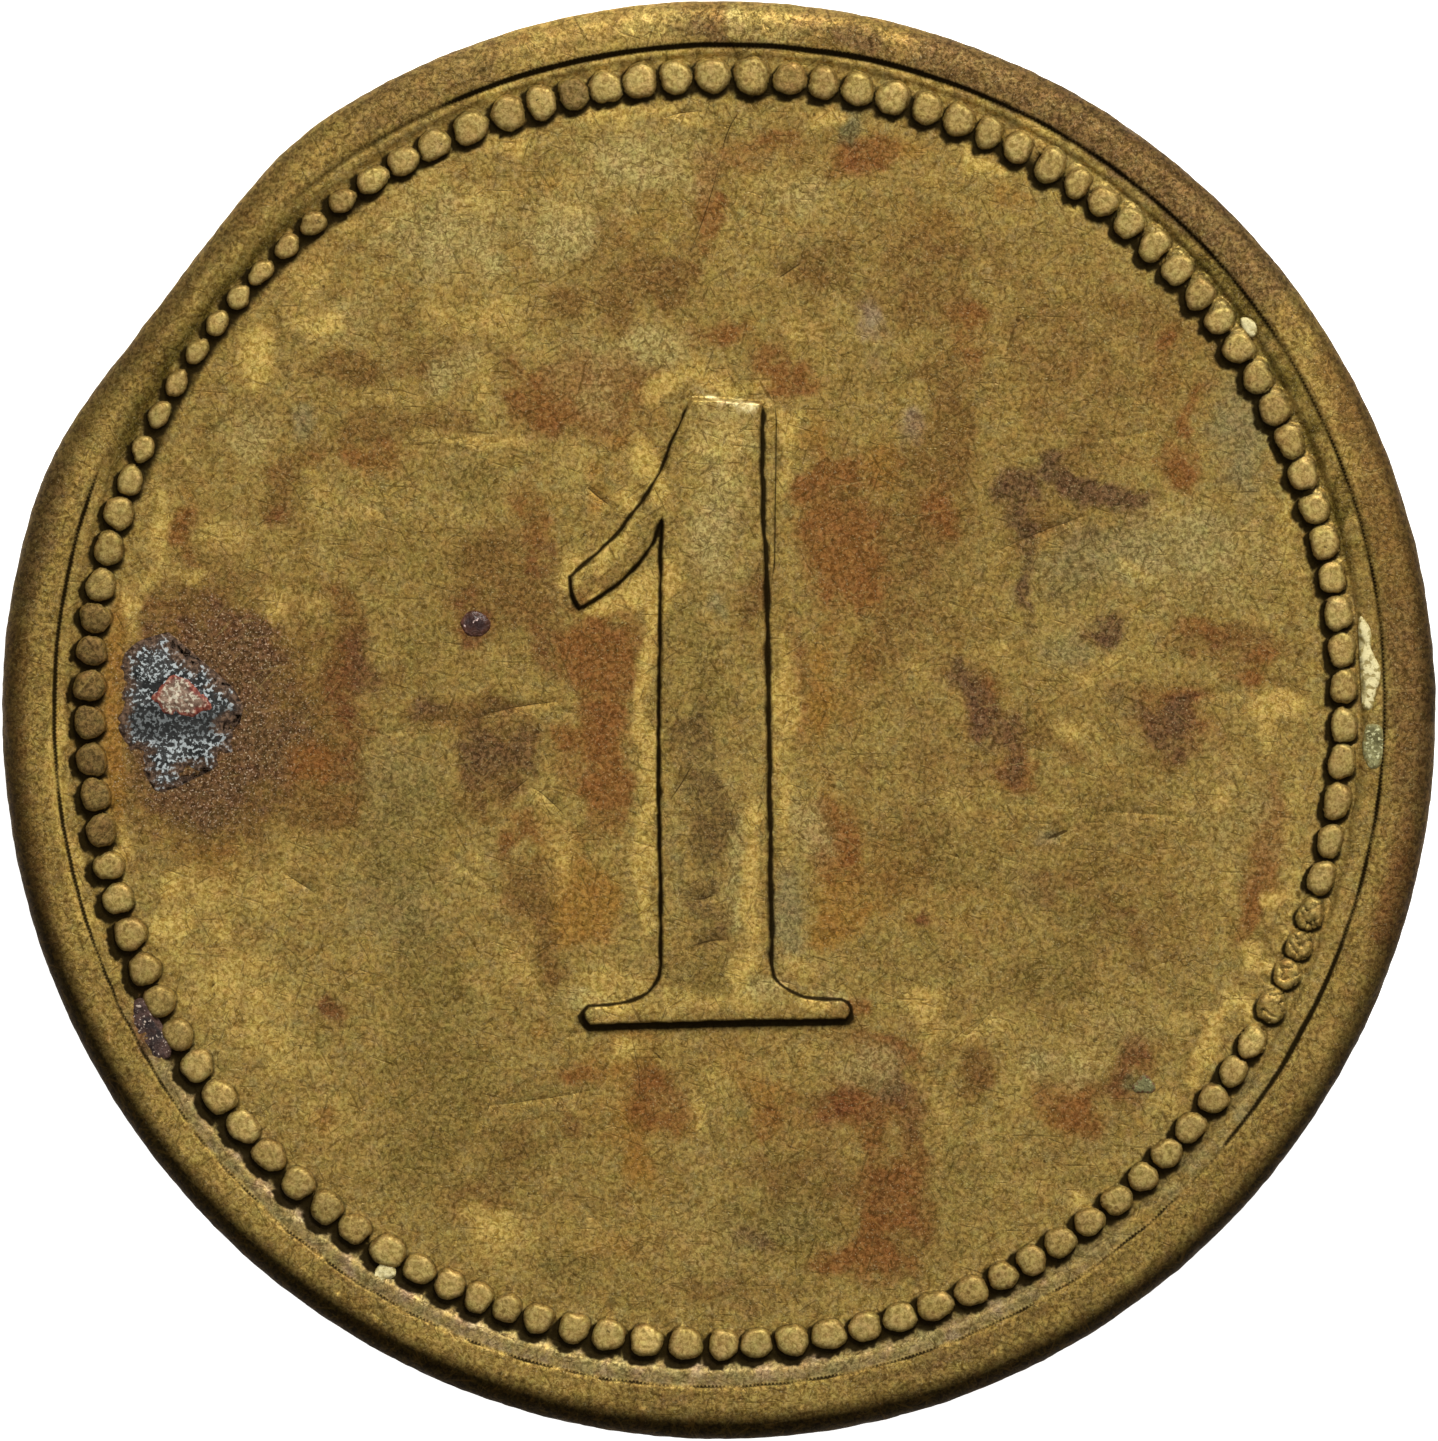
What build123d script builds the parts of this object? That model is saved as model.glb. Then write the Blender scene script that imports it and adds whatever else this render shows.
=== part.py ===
"""Struck brass transit token, value 1.

One struck flan with a border of pearls and a raised numeral on both sides, and the
lumps of foreign matter that have grown or lodged on its upper face.  Row frame, in mm:
the token lies flat, its lower rim plane is Z = 0, +Z is up through the upper face and
+Y is up the numeral.  The origin is the centre of the round edge, on the lower plane.
"""

import os
from math import atan2, cos, degrees, hypot, pi, radians, sin

from build123d import *

os.makedirs("parts", exist_ok=True)

# ---------------------------------------------------------------- driving dimensions
DIAMETER = 24.0  # over the round edge
THICKNESS = 1.40  # over the two rims
SHOULDER_R = 0.36  # rounding from rim to edge, both sides
RIM_STEP = 0.10  # rim plane down to the border channel
FIELD_DROP = 0.16  # rim plane down to the field
PEARL_DROP = 0.015  # rim plane down to the worn tops of the pearls
NUMERAL_DROP = 0.02  # rim plane down to the top of the numeral
CHANNEL_R = 11.17  # wall between rim and border channel (edge of the die)
CHANNEL_C = (-0.02, 0.093)  # the die was struck slightly off centre
PEARL_CIRCLE_R = 10.545  # middle of the pearls
PEARL_CIRCLE_C = (-0.045, 0.165)
PEARLS = 111
PEARL_FILL = 0.455  # pearl radius as a share of the local pitch
PEARL_EDGE = 0.045  # rounding round the top of a pearl
SINK = 0.04  # how far relief is rooted below the surface that it stands on

# The rim was knocked in between these angles (degrees from +X, counter-clockwise).
DENT = [
    (124, 12.0),
    (127, 11.965),
    (130, 11.889),
    (133, 11.797),
    (136, 11.717),
    (140, 11.659),
    (143.5, 11.643),
    (147, 11.677),
    (150, 11.747),
    (153, 11.835),
    (156, 11.914),
    (159, 11.978),
    (162, 12.0),
]

# Slow drift of the hand-set pearl pitch, in degrees, as cosine and sine terms.
PITCH_DRIFT = [
    0.638, 1.677, -0.339, 0.211, 0.393, 0.329, 0.474, -0.168,
    0.242, 0.04, 0.243, 0.101, -0.079, -0.087, -0.05,
]  # fmt: skip
# Wander of the pearls in radius, in mm, the same way, from the second harmonic on.
RADIUS_DRIFT = [-0.0576, 0.0178, -0.0194, 0.0184, -0.0194, -0.0062]

# Pearls that were mashed flat by a slipped second blow, upper face only.
MASHED = (329.5, 345.0)
MASHED_DROP = 0.055

# Foreign matter on the upper face: heights over the surface that each lump sits on.
CRUST_T = 0.060  # grey mineral scab in the field
NODULE_T = 0.115  # red oxide lump that stands up through the scab
VIOLET_CRUST_T = 0.080  # in the border channel
RESIDUE_T = 0.060  # cream residue in the border channel
GREEN_DEPOSIT_T = 0.070  # in the border channel
CRUMB_T = 0.060  # cream crumb in the border channel
SPECK_T = 0.050  # green speck in the field
PIMPLE_T = 0.060  # violet lump beside the numeral

R = DIAMETER / 2
RIM_Z = THICKNESS
CHANNEL_Z = RIM_Z - RIM_STEP
FIELD_Z = RIM_Z - FIELD_DROP
PEARL_Z = RIM_Z - PEARL_DROP
NUMERAL_Z = RIM_Z - NUMERAL_DROP


def at(angle, radius):
    """A point on the face, from its angle in degrees and its radius."""
    return (radius * cos(radians(angle)), radius * sin(radians(angle)))


def pearl(i):
    """Angle in degrees and radius in mm of pearl i of the border."""
    t = 2 * pi * i / PEARLS
    a = i * 360 / PEARLS + PITCH_DRIFT[0]
    for k in range(1, 8):
        a += PITCH_DRIFT[2 * k - 1] * cos(k * t) + PITCH_DRIFT[2 * k] * sin(k * t)
    u = radians(a)
    r = PEARL_CIRCLE_R + PEARL_CIRCLE_C[0] * cos(u) + PEARL_CIRCLE_C[1] * sin(u)
    for k in range(2, 5):
        r += RADIUS_DRIFT[2 * k - 4] * cos(k * u) + RADIUS_DRIFT[2 * k - 3] * sin(k * u)
    return a, r


def pearl_spots():
    """(x, y, pearl radius, angle) of every pearl."""
    spots = []
    for i in range(PEARLS):
        a, r = pearl(i)
        before, after = pearl(i - 1)[0], pearl(i + 1)[0]
        if i == 0:
            before -= 0 if before < a else 360
        if i == PEARLS - 1:
            after += 0 if after > a else 360
        pitch = radians(min(a - before, after - a)) * r
        x, y = at(a, r)
        spots.append((x, y, PEARL_FILL * pitch, a % 360))
    return spots


SPOTS = pearl_spots()

# ---------------------------------------------------------------- the pearls of one face
# Short round posts with rounded, worn tops.  They are tools: the blow that struck the
# token raised them from the flan itself, so they are fused to it below.
with BuildPart() as pearls:
    with BuildSketch(Plane.XY.offset(FIELD_Z - SINK)):
        for x, y, r, a in SPOTS:
            if not MASHED[0] < a < MASHED[1]:
                with Locations((x, y)):
                    Circle(r)
    extrude(amount=PEARL_Z - FIELD_Z + SINK)
    fillet(pearls.edges().filter_by(GeomType.CIRCLE).group_by(Axis.Z)[-1], PEARL_EDGE)

with BuildPart() as mashed_pearls:
    with BuildSketch(Plane.XY.offset(FIELD_Z - SINK)):
        for x, y, r, a in SPOTS:
            if MASHED[0] < a < MASHED[1]:
                with Locations((x, y)):
                    Circle(r)
    extrude(amount=PEARL_Z - FIELD_Z + SINK)
    fillet(
        mashed_pearls.edges().filter_by(GeomType.CIRCLE).group_by(Axis.Z)[-1],
        PEARL_EDGE,
    )

# ---------------------------------------------------------------- the numeral of one face
# A plain figure one: a thick stem, a curved flag and a bracketed foot.
with BuildPart() as numeral:
    with BuildSketch(Plane.XY.offset(FIELD_Z - SINK)):
        with BuildLine():
            top = Line((-0.482, 5.347), (0.687, 5.281))
            stem_right = Spline(
                top @ 1, (0.690, 3.660), (0.752, 2.158), (0.790, -0.347), (0.826, -3.019), (0.830, -4.060)
            )  # fmt: skip
            bracket_right = Spline(
                stem_right @ 1, (0.905, -4.321), (1.079, -4.488), (1.330, -4.620), (1.600, -4.675)
            )  # fmt: skip
            foot_upper_right = Line(bracket_right @ 1, (2.048, -4.680))
            foot_end_right = Spline(
                foot_upper_right @ 1, (2.200, -4.750), (2.235, -4.905), (2.140, -5.040)
            )
            foot_bottom = Spline(
                foot_end_right @ 1, (1.163, -5.056), (0.161, -5.072), (-1.008, -5.120), (-2.180, -5.160)
            )  # fmt: skip
            foot_end_left = Spline(
                foot_bottom @ 1, (-2.335, -5.050), (-2.345, -4.880), (-2.200, -4.790)
            )
            foot_upper_left = Line(foot_end_left @ 1, (-1.800, -4.768))
            bracket_left = Spline(
                foot_upper_left @ 1, (-1.470, -4.710), (-1.208, -4.563), (-1.041, -4.338), (-0.985, -4.100)
            )  # fmt: skip
            stem_left = Spline(
                bracket_left @ 1, (-0.985, -3.019), (-1.020, -1.015), (-1.003, 1.156), (-0.975, 3.330)
            )  # fmt: skip
            flag_lower = Spline(
                stem_left @ 1, (-1.175, 2.876), (-1.420, 2.560), (-1.715, 2.270), (-2.080, 2.015), (-2.360, 1.849)
            )  # fmt: skip
            flag_end = Spline(flag_lower @ 1, (-2.465, 2.080), (-2.500, 2.370))
            flag_upper = Spline(
                flag_end @ 1, (-2.020, 2.800), (-1.676, 3.135), (-1.420, 3.485), (-1.158, 3.844),
                (-0.941, 4.278), (-0.757, 4.729), top @ 0,
            )  # fmt: skip
        make_face()
    extrude(amount=NUMERAL_Z - FIELD_Z + SINK)

# ---------------------------------------------------------------- the struck flan
with BuildPart() as struck_flan:
    # The blank: round but for the knock in its rim, with a rounded shoulder all round.
    with BuildSketch():
        with BuildLine():
            round_edge = CenterArc((0, 0), R, DENT[-1][0], 360 - DENT[-1][0] + DENT[0][0])
            a0, a1 = radians(DENT[0][0]), radians(DENT[-1][0])
            knocked_in = Spline(
                *[at(a, r) for a, r in DENT],
                tangents=[(-sin(a0), cos(a0)), (-sin(a1), cos(a1))],
            )
        make_face()
    extrude(amount=THICKNESS)
    fillet(
        struck_flan.edges().group_by(Axis.Z)[0] + struck_flan.edges().group_by(Axis.Z)[-1],
        SHOULDER_R,
    )
    # Border channel and field, sunk into the upper face.
    with BuildSketch(Plane.XY.offset(RIM_Z)):
        with Locations(CHANNEL_C):
            Circle(CHANNEL_R)
    extrude(amount=-RIM_STEP, mode=Mode.SUBTRACT)
    with BuildSketch(Plane.XY.offset(CHANNEL_Z)):
        with Locations(PEARL_CIRCLE_C):
            Circle(PEARL_CIRCLE_R)
    extrude(amount=CHANNEL_Z - RIM_Z + RIM_STEP - (FIELD_DROP - RIM_STEP), mode=Mode.SUBTRACT)
    # The same, sunk into the lower face, which is the upper one turned about Y.
    with BuildSketch(Plane.XY):
        with Locations((-CHANNEL_C[0], CHANNEL_C[1])):
            Circle(CHANNEL_R)
    extrude(amount=RIM_STEP, mode=Mode.SUBTRACT)
    with BuildSketch(Plane.XY.offset(RIM_STEP)):
        with Locations((-PEARL_CIRCLE_C[0], PEARL_CIRCLE_C[1])):
            Circle(PEARL_CIRCLE_R)
    extrude(amount=FIELD_DROP - RIM_STEP, mode=Mode.SUBTRACT)
    # Relief raised by the blow.
    turned = Location((0, 0, THICKNESS), (0, 180, 0))
    add(pearls.part)
    add(mashed_pearls.part.moved(Location((0, 0, -MASHED_DROP))))
    add(numeral.part)
    add(pearls.part.moved(turned))
    add(mashed_pearls.part.moved(turned))
    add(numeral.part.moved(turned))

struck_flan.part.label = "struck_flan"
export_step(struck_flan.part, "parts/struck_flan.step")

# ---------------------------------------------------------------- lumps in the field
# Each one is a separate solid that sits face to face on the flan, below the rim plane.
with BuildPart() as red_oxide_nodule:
    with BuildSketch(Plane.XY.offset(FIELD_Z)):
        with BuildLine():
            Spline(
                (-9.45, 0.36), (-9.30, 0.62), (-9.02, 0.72), (-8.72, 0.60), (-8.56, 0.34),
                (-8.66, 0.10), (-8.95, 0.05), (-9.25, 0.10), periodic=True,
            )  # fmt: skip
        make_face()
    extrude(amount=NODULE_T)
    chamfer(red_oxide_nodule.edges().group_by(Axis.Z)[-1], 0.05)

with BuildPart() as grey_mineral_crust:
    with BuildSketch(Plane.XY.offset(FIELD_Z)):
        with BuildLine():
            Spline(
                (-9.86, 0.95), (-9.48, 1.32), (-8.95, 1.22), (-8.45, 0.95), (-8.12, 0.45),
                (-7.98, -0.15), (-8.20, -0.72), (-8.72, -1.05), (-9.25, -1.10), (-9.62, -0.72),
                (-9.84, -0.15), (-9.92, 0.42), periodic=True,
            )  # fmt: skip
        make_face()
    extrude(amount=CRUST_T)
    chamfer(grey_mineral_crust.edges().group_by(Axis.Z)[-1], 0.035)
    add(red_oxide_nodule.part, mode=Mode.SUBTRACT)

with BuildPart() as violet_pimple:
    with BuildSketch(Plane.XY.offset(FIELD_Z)):
        with BuildLine():
            Spline(
                (-4.35, 1.62), (-4.18, 1.80), (-3.96, 1.76), (-3.84, 1.58), (-3.95, 1.40),
                (-4.20, 1.40), periodic=True,
            )  # fmt: skip
        make_face()
    extrude(amount=PIMPLE_T)
    chamfer(violet_pimple.edges().group_by(Axis.Z)[-1], 0.03)

with BuildPart() as green_speck:
    with BuildSketch(Plane.XY.offset(FIELD_Z)):
        with BuildLine():
            Spline(
                (6.89, -6.14), (7.02, -5.96), (7.22, -5.99), (7.30, -6.15), (7.16, -6.29),
                (6.98, -6.27), periodic=True,
            )  # fmt: skip
        make_face()
    extrude(amount=SPECK_T)
    chamfer(green_speck.edges().group_by(Axis.Z)[-1], 0.03)

# ---------------------------------------------------------------- lumps in the channel
# These fill the gutter between the pearls and the rim, and end against both.
with BuildPart() as violet_channel_crust:
    with BuildSketch(Plane.XY.offset(CHANNEL_Z)):
        with BuildLine():
            Spline(
                at(205.6, 10.78), at(206.6, 11.02), at(208.6, 11.08), at(210.8, 11.03),
                at(211.6, 10.80), at(210.2, 10.64), at(208.2, 10.66), at(206.4, 10.64),
                periodic=True,
            )  # fmt: skip
        make_face()
    extrude(amount=VIOLET_CRUST_T)
    add(pearls.part, mode=Mode.SUBTRACT)

with BuildPart() as cream_residue_upper:
    with BuildSketch(Plane.XY.offset(CHANNEL_Z)):
        with BuildLine():
            Spline(
                at(35.6, 10.98), at(36.3, 11.10), at(37.2, 11.08), at(37.6, 10.96), at(36.8, 10.88),
                at(36.0, 10.88), periodic=True,
            )  # fmt: skip
        make_face()
    extrude(amount=RESIDUE_T)
    add(pearls.part, mode=Mode.SUBTRACT)

with BuildPart() as cream_residue_side:
    with BuildSketch(Plane.XY.offset(CHANNEL_Z)):
        with BuildLine():
            Spline(
                at(0.9, 10.95), at(2.4, 11.05), at(4.6, 11.08), at(7.0, 11.05), at(8.8, 10.96),
                at(7.4, 10.84), at(5.0, 10.86), at(2.8, 10.84), periodic=True,
            )  # fmt: skip
        make_face()
    extrude(amount=RESIDUE_T)
    add(pearls.part, mode=Mode.SUBTRACT)

with BuildPart() as green_channel_deposit:
    with BuildSketch(Plane.XY.offset(CHANNEL_Z)):
        with BuildLine():
            Spline(
                at(-3.9, 10.98), at(-3.2, 11.09), at(-2.2, 11.10), at(-1.2, 11.06), at(-0.7, 10.94),
                at(-1.6, 10.84), at(-3.0, 10.86), periodic=True,
            )  # fmt: skip
        make_face()
    extrude(amount=GREEN_DEPOSIT_T)
    add(pearls.part, mode=Mode.SUBTRACT)

with BuildPart() as cream_crumb:
    with BuildSketch(Plane.XY.offset(CHANNEL_Z)):
        with BuildLine():
            Spline(
                at(236.9, 10.86), at(237.6, 10.98), at(239.0, 10.97), at(239.9, 10.84),
                at(239.0, 10.72), at(237.7, 10.72), periodic=True,
            )  # fmt: skip
        make_face()
    extrude(amount=CRUMB_T)
    add(pearls.part, mode=Mode.SUBTRACT)

red_oxide_nodule.part.label = "red_oxide_nodule"
export_step(red_oxide_nodule.part, "parts/red_oxide_nodule.step")
grey_mineral_crust.part.label = "grey_mineral_crust"
export_step(grey_mineral_crust.part, "parts/grey_mineral_crust.step")
violet_pimple.part.label = "violet_pimple"
export_step(violet_pimple.part, "parts/violet_pimple.step")
green_speck.part.label = "green_speck"
export_step(green_speck.part, "parts/green_speck.step")
violet_channel_crust.part.label = "violet_channel_crust"
export_step(violet_channel_crust.part, "parts/violet_channel_crust.step")
cream_residue_upper.part.label = "cream_residue_upper"
export_step(cream_residue_upper.part, "parts/cream_residue_upper.step")
cream_residue_side.part.label = "cream_residue_side"
export_step(cream_residue_side.part, "parts/cream_residue_side.step")
green_channel_deposit.part.label = "green_channel_deposit"
export_step(green_channel_deposit.part, "parts/green_channel_deposit.step")
cream_crumb.part.label = "cream_crumb"
export_step(cream_crumb.part, "parts/cream_crumb.step")
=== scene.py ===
"""Struck brass transit token: worn, knocked and toned.

Lengths in this script are millimetres until a mesh is made. x, y and z are the frame of
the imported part: z = 0 is the lower rim, +z the upper face, +y up the numeral.
"""

import math

import bpy
import numpy as np
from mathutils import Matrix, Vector
from mathutils.geometry import delaunay_2d_cdt


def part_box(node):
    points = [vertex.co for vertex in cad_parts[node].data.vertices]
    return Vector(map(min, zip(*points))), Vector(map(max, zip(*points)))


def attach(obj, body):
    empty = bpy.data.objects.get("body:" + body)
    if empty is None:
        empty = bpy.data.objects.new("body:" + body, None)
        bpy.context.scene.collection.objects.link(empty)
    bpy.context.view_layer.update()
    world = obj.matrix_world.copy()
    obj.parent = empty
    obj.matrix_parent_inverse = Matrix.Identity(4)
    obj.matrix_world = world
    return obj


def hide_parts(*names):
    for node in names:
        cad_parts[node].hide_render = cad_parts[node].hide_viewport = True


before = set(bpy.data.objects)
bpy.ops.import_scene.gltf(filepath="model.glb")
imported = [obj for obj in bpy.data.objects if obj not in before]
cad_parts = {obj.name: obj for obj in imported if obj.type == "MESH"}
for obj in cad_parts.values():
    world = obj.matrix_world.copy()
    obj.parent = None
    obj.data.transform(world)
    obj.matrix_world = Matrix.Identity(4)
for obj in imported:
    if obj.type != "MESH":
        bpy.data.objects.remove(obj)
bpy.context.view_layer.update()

MM = 0.001

# ------------------------------------------------------------------ the CAD's own numbers
FLAN_LOW, FLAN_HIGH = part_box("struck_flan")
THICK = FLAN_HIGH.z / MM  # over the rims
Z_RIM = THICK - 0.004
Z_FIELD = THICK - 0.16
Z_MOAT = THICK - 0.095
Z_PEARL = THICK - 0.014
Z_NUM = THICK - 0.022
SHOULDER_W = 0.46  # how far in from the edge the rounding starts
SHOULDER_H = 0.37

# Angle in degrees and radius in mm of each pearl of the border, as the part places them.
PEARL_ANGLE = [
    2.96, 6.35, 9.7, 13.0, 16.3, 19.5, 22.8, 26.0, 29.2, 32.4, 35.6, 38.6, 41.5, 44.5, 47.5, 50.5,
    53.5, 56.3, 59.2, 62.5, 65.4, 68.3, 71.3, 74.5, 77.7, 80.8, 83.8, 87.2, 90.7, 94.0, 97.2,
    100.3, 103.2, 106.2, 109.3, 112.9, 116.5, 119.6, 122.8, 126.1, 129.4, 132.5, 135.8, 138.8,
    141.8, 144.9, 148.3, 151.5, 154.9, 158.0, 161.1, 164.4, 167.8, 170.8, 173.8, 177.0, 180.3,
    183.7, 186.9, 190.2, 193.5, 196.6, 200.0, 203.5, 206.7, 210.2, 213.5, 217.0, 220.5, 224.0,
    227.7, 231.1, 234.3, 238.0, 241.3, 244.4, 247.3, 250.1, 253.1, 256.5, 259.7, 263.2, 266.8,
    270.3, 273.3, 276.6, 280.0, 283.4, 286.7, 290.1, 293.7, 296.9, 299.9, 303.0, 306.3, 309.5,
    312.7, 315.8, 319.0, 322.4, 325.5, 328.7, 332.5, 335.8, 338.6, 341.7, 345.2, 348.7, 352.4,
    356.1, 359.4,
]  # fmt: skip
PEARL_RADIUS_C = [10.5445, -0.0451, 0.1652, -0.0576, 0.0178, -0.0194, 0.0184, -0.0194, -0.0062]
GROOVE_C = [11.1693, -0.0199, 0.0932, -0.046, 0.0457, 0.0034, 0.0306, -0.0105, -0.0071]
OUTLINE_C = [11.9889, -0.0211, 0.0163, -0.0185, -0.0038, -0.0046, 0.0296]
DENT = [
    (120, 0.0), (124, 0.012), (126, -0.019), (128, -0.057), (130, -0.111), (132, -0.178),
    (134, -0.228), (136, -0.286), (138, -0.320), (140, -0.341), (142, -0.353), (144, -0.357),
    (146, -0.332), (148, -0.307), (150, -0.253), (152, -0.199), (154, -0.132), (156, -0.086),
    (158, -0.028), (160, 0.006), (163, 0.02), (167, 0.0),
]  # fmt: skip

# ------------------------------------------------------------------ small helpers


def series(c, a):
    """A Fourier series in the angle a, in degrees."""
    t = np.radians(a)
    out = np.full_like(t, c[0], dtype=float)
    for k in range(1, (len(c) - 1) // 2 + 1):
        out += c[2 * k - 1] * np.cos(k * t) + c[2 * k] * np.sin(k * t)
    return out


def step(lo, hi, v):
    t = np.clip((v - lo) / (hi - lo), 0, 1)
    return t * t * (3 - 2 * t)


def around(a, b):
    """Signed difference of two angles in degrees, -180 to 180."""
    return (a - b + 180) % 360 - 180


def arc(a, lo, hi, soft=4.0):
    """1 where the angle a lies from lo to hi, falling off over soft degrees."""
    mid, half = (lo + hi) / 2, (hi - lo) / 2
    d = np.abs(around(a, mid))
    return 1 - step(half - soft / 2, half + soft / 2, d)


class Noise:
    """Gradient noise over the plane, about -1 to 1, seeded."""

    def __init__(self, seed, n=128):
        t = np.random.default_rng(seed).random((n, n)) * 2 * np.pi
        self.gx, self.gy, self.n = np.cos(t), np.sin(t), n

    def __call__(self, x, y):
        xi, yi = np.floor(x).astype(int), np.floor(y).astype(int)
        fx, fy = x - xi, y - yi
        u = fx**3 * (fx * (fx * 6 - 15) + 10)
        v = fy**3 * (fy * (fy * 6 - 15) + 10)

        def g(i, j, dx, dy):
            i, j = i % self.n, j % self.n
            return self.gx[i, j] * dx + self.gy[i, j] * dy

        low = g(xi, yi, fx, fy) * (1 - u) + g(xi + 1, yi, fx - 1, fy) * u
        high = g(xi, yi + 1, fx, fy - 1) * (1 - u) + g(xi + 1, yi + 1, fx - 1, fy - 1) * u
        return 1.5 * (low * (1 - v) + high * v)


_noises = {}


def fbm(x, y, size, octaves, seed):
    """Fractal noise whose largest lumps are about size across."""
    out, amp = 0.0, 1.0
    for k in range(octaves):
        if (seed, k) not in _noises:
            _noises[seed, k] = Noise(seed * 31 + k)
        f = _noises[seed, k]
        out = out + amp * f(x / size * 2**k + 17.3 * k, y / size * 2**k - 9.1 * k)
        amp *= 0.5
    return out


# ------------------------------------------------------------------ outline, rim, groove


def outline(a):
    dent = np.interp(a, [p[0] for p in DENT], [p[1] for p in DENT], left=0, right=0)
    t = np.radians(a)
    rough = fbm(9 * np.cos(t), 9 * np.sin(t), 0.55, 3, 3)
    rough2 = fbm(9 * np.cos(t), 9 * np.sin(t), 2.3, 2, 4)
    fade = 1 - arc(a, 120, 167, 8)
    return 12.0 + (series(OUTLINE_C, a) - 12.0) * fade + dent + 0.006 * rough + 0.007 * rough2


def dented(a):
    """1 in the knock, 0 away from it."""
    return step(125, 133, a) * (1 - step(153, 162, a))


def groove(a):
    t = np.radians(a)
    cx, cy = 11 * np.cos(t), 11 * np.sin(t)
    worn = arc(a, 190, 330, 30)
    wobble = 0.010 * fbm(cx, cy, 1.3, 2, 5) + (0.003 + 0.013 * worn) * fbm(cx, cy, 0.55, 3, 6)
    return series(GROOVE_C, a) + wobble


def pearl_radius(a):
    return series(PEARL_RADIUS_C, a)


# half height of a pearl, measured along the radius, round the border
PEARL_B = [
    (0, 0.226), (10, 0.232), (28, 0.250), (36, 0.268), (45, 0.278), (60, 0.288), (90, 0.300),
    (104, 0.285), (118, 0.262), (124, 0.210), (132, 0.182), (150, 0.182), (157, 0.222),
    (163, 0.262), (180, 0.268), (240, 0.268), (290, 0.262), (305, 0.248), (325, 0.240),
    (345, 0.212), (352, 0.216), (360, 0.226),
]  # fmt: skip


def pearl_table(seed, stretch=1.0):
    """One row per pearl: x, y, angle, half width, half height, exponent, top, tilt x, tilt y."""
    rng = np.random.default_rng(seed)
    n = len(PEARL_ANGLE)
    rows = []
    for i, a in enumerate(PEARL_ANGLE):
        before = around(a, PEARL_ANGLE[i - 1])
        after = around(PEARL_ANGLE[(i + 1) % n], a)
        r = float(pearl_radius(np.array(a)))
        if 36 <= a <= 100:
            r += 0.012
        pitch = math.radians(min(before, after) * 0.65 + max(before, after) * 0.35) * r
        b = float(np.interp(a, [p[0] for p in PEARL_B], [p[1] for p in PEARL_B]))
        half = pitch * (0.468 + 0.018 * rng.standard_normal())
        power = 2.05 + 0.35 * rng.random()
        top = Z_PEARL + 0.006 * rng.standard_normal() - 0.004
        if 124 < a < 157:
            half *= 0.90
            power = 1.62 + 0.25 * rng.random()
            top -= 0.012
        if a > 343 or a < 30:
            half *= 1.02
            power = 2.4
        if 30 <= a < 66:
            half *= 0.95
        b *= 1 + 0.04 * rng.standard_normal()
        rows.append((
            r * math.cos(math.radians(a)), r * math.sin(math.radians(a)), a, half, b, power,
            top, 0.035 * rng.standard_normal(), 0.035 * rng.standard_normal(),
            *rng.random(6),
        ))  # fmt: skip
    return np.array(rows)


class Border:
    """The ring of pearls of one face: how far a point is from the nearest ones."""

    def __init__(self, seed):
        self.t = pearl_table(seed)
        self.n = len(self.t)
        self.angles = self.t[:, 2]

    def lobe(self, phi, k):
        """The lumpy outline of pearl k, as a factor on its size in direction phi."""
        q = self.t[k, 9:15]
        return (
            1
            + 0.038 * np.cos(2 * phi + 6.283 * q[..., 0])
            + 0.042 * np.cos(3 * phi + 6.283 * q[..., 1])
            + 0.026 * np.cos(5 * phi + 6.283 * q[..., 2])
            + 0.014 * np.cos(8 * phi + 6.283 * q[..., 3])
        )

    def local(self, x, y, k):
        """Position of points in pearl k's own axes: along the border, and outwards."""
        t = self.t[k]
        ca, sa = np.cos(np.radians(t[..., 2])), np.sin(np.radians(t[..., 2]))
        dx, dy = x - t[..., 0], y - t[..., 1]
        return -dx * sa + dy * ca, dx * ca + dy * sa

    def rho(self, x, y, k):
        """0 in the middle of pearl k, 1 on its outline."""
        u, v = self.local(x, y, k)
        t = self.t[k]
        phi = np.arctan2(v / t[..., 4], u / t[..., 3])
        p = t[..., 5]
        m = (np.abs(u / t[..., 3]) ** p + np.abs(v / t[..., 4]) ** p) ** (1 / p)
        return m / self.lobe(phi, k)

    def nearest(self, a):
        """Index of the pearl nearest in angle."""
        i = np.searchsorted(self.angles, a) % self.n
        j = (i - 1) % self.n
        di = np.abs(around(a, self.angles[i]))
        dj = np.abs(around(a, self.angles[j]))
        return np.where(di < dj, i, j)

    def outer_ring(self, k, rho, count):
        """Points on the outline of pearl k at that rho."""
        t = self.t[k]
        phi = np.arange(count) * 2 * np.pi / count + 0.13 * k
        c, s = np.cos(phi), np.sin(phi)
        p = t[5]
        m = rho * self.lobe(phi, k) / (np.abs(c) ** p + np.abs(s) ** p) ** (1 / p)
        u, v = m * c * t[3], m * s * t[4]
        ca, sa = math.cos(math.radians(t[2])), math.sin(math.radians(t[2]))
        return t[0] - u * sa + v * ca, t[1] + u * ca + v * sa


# ------------------------------------------------------------------ the numeral


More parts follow.
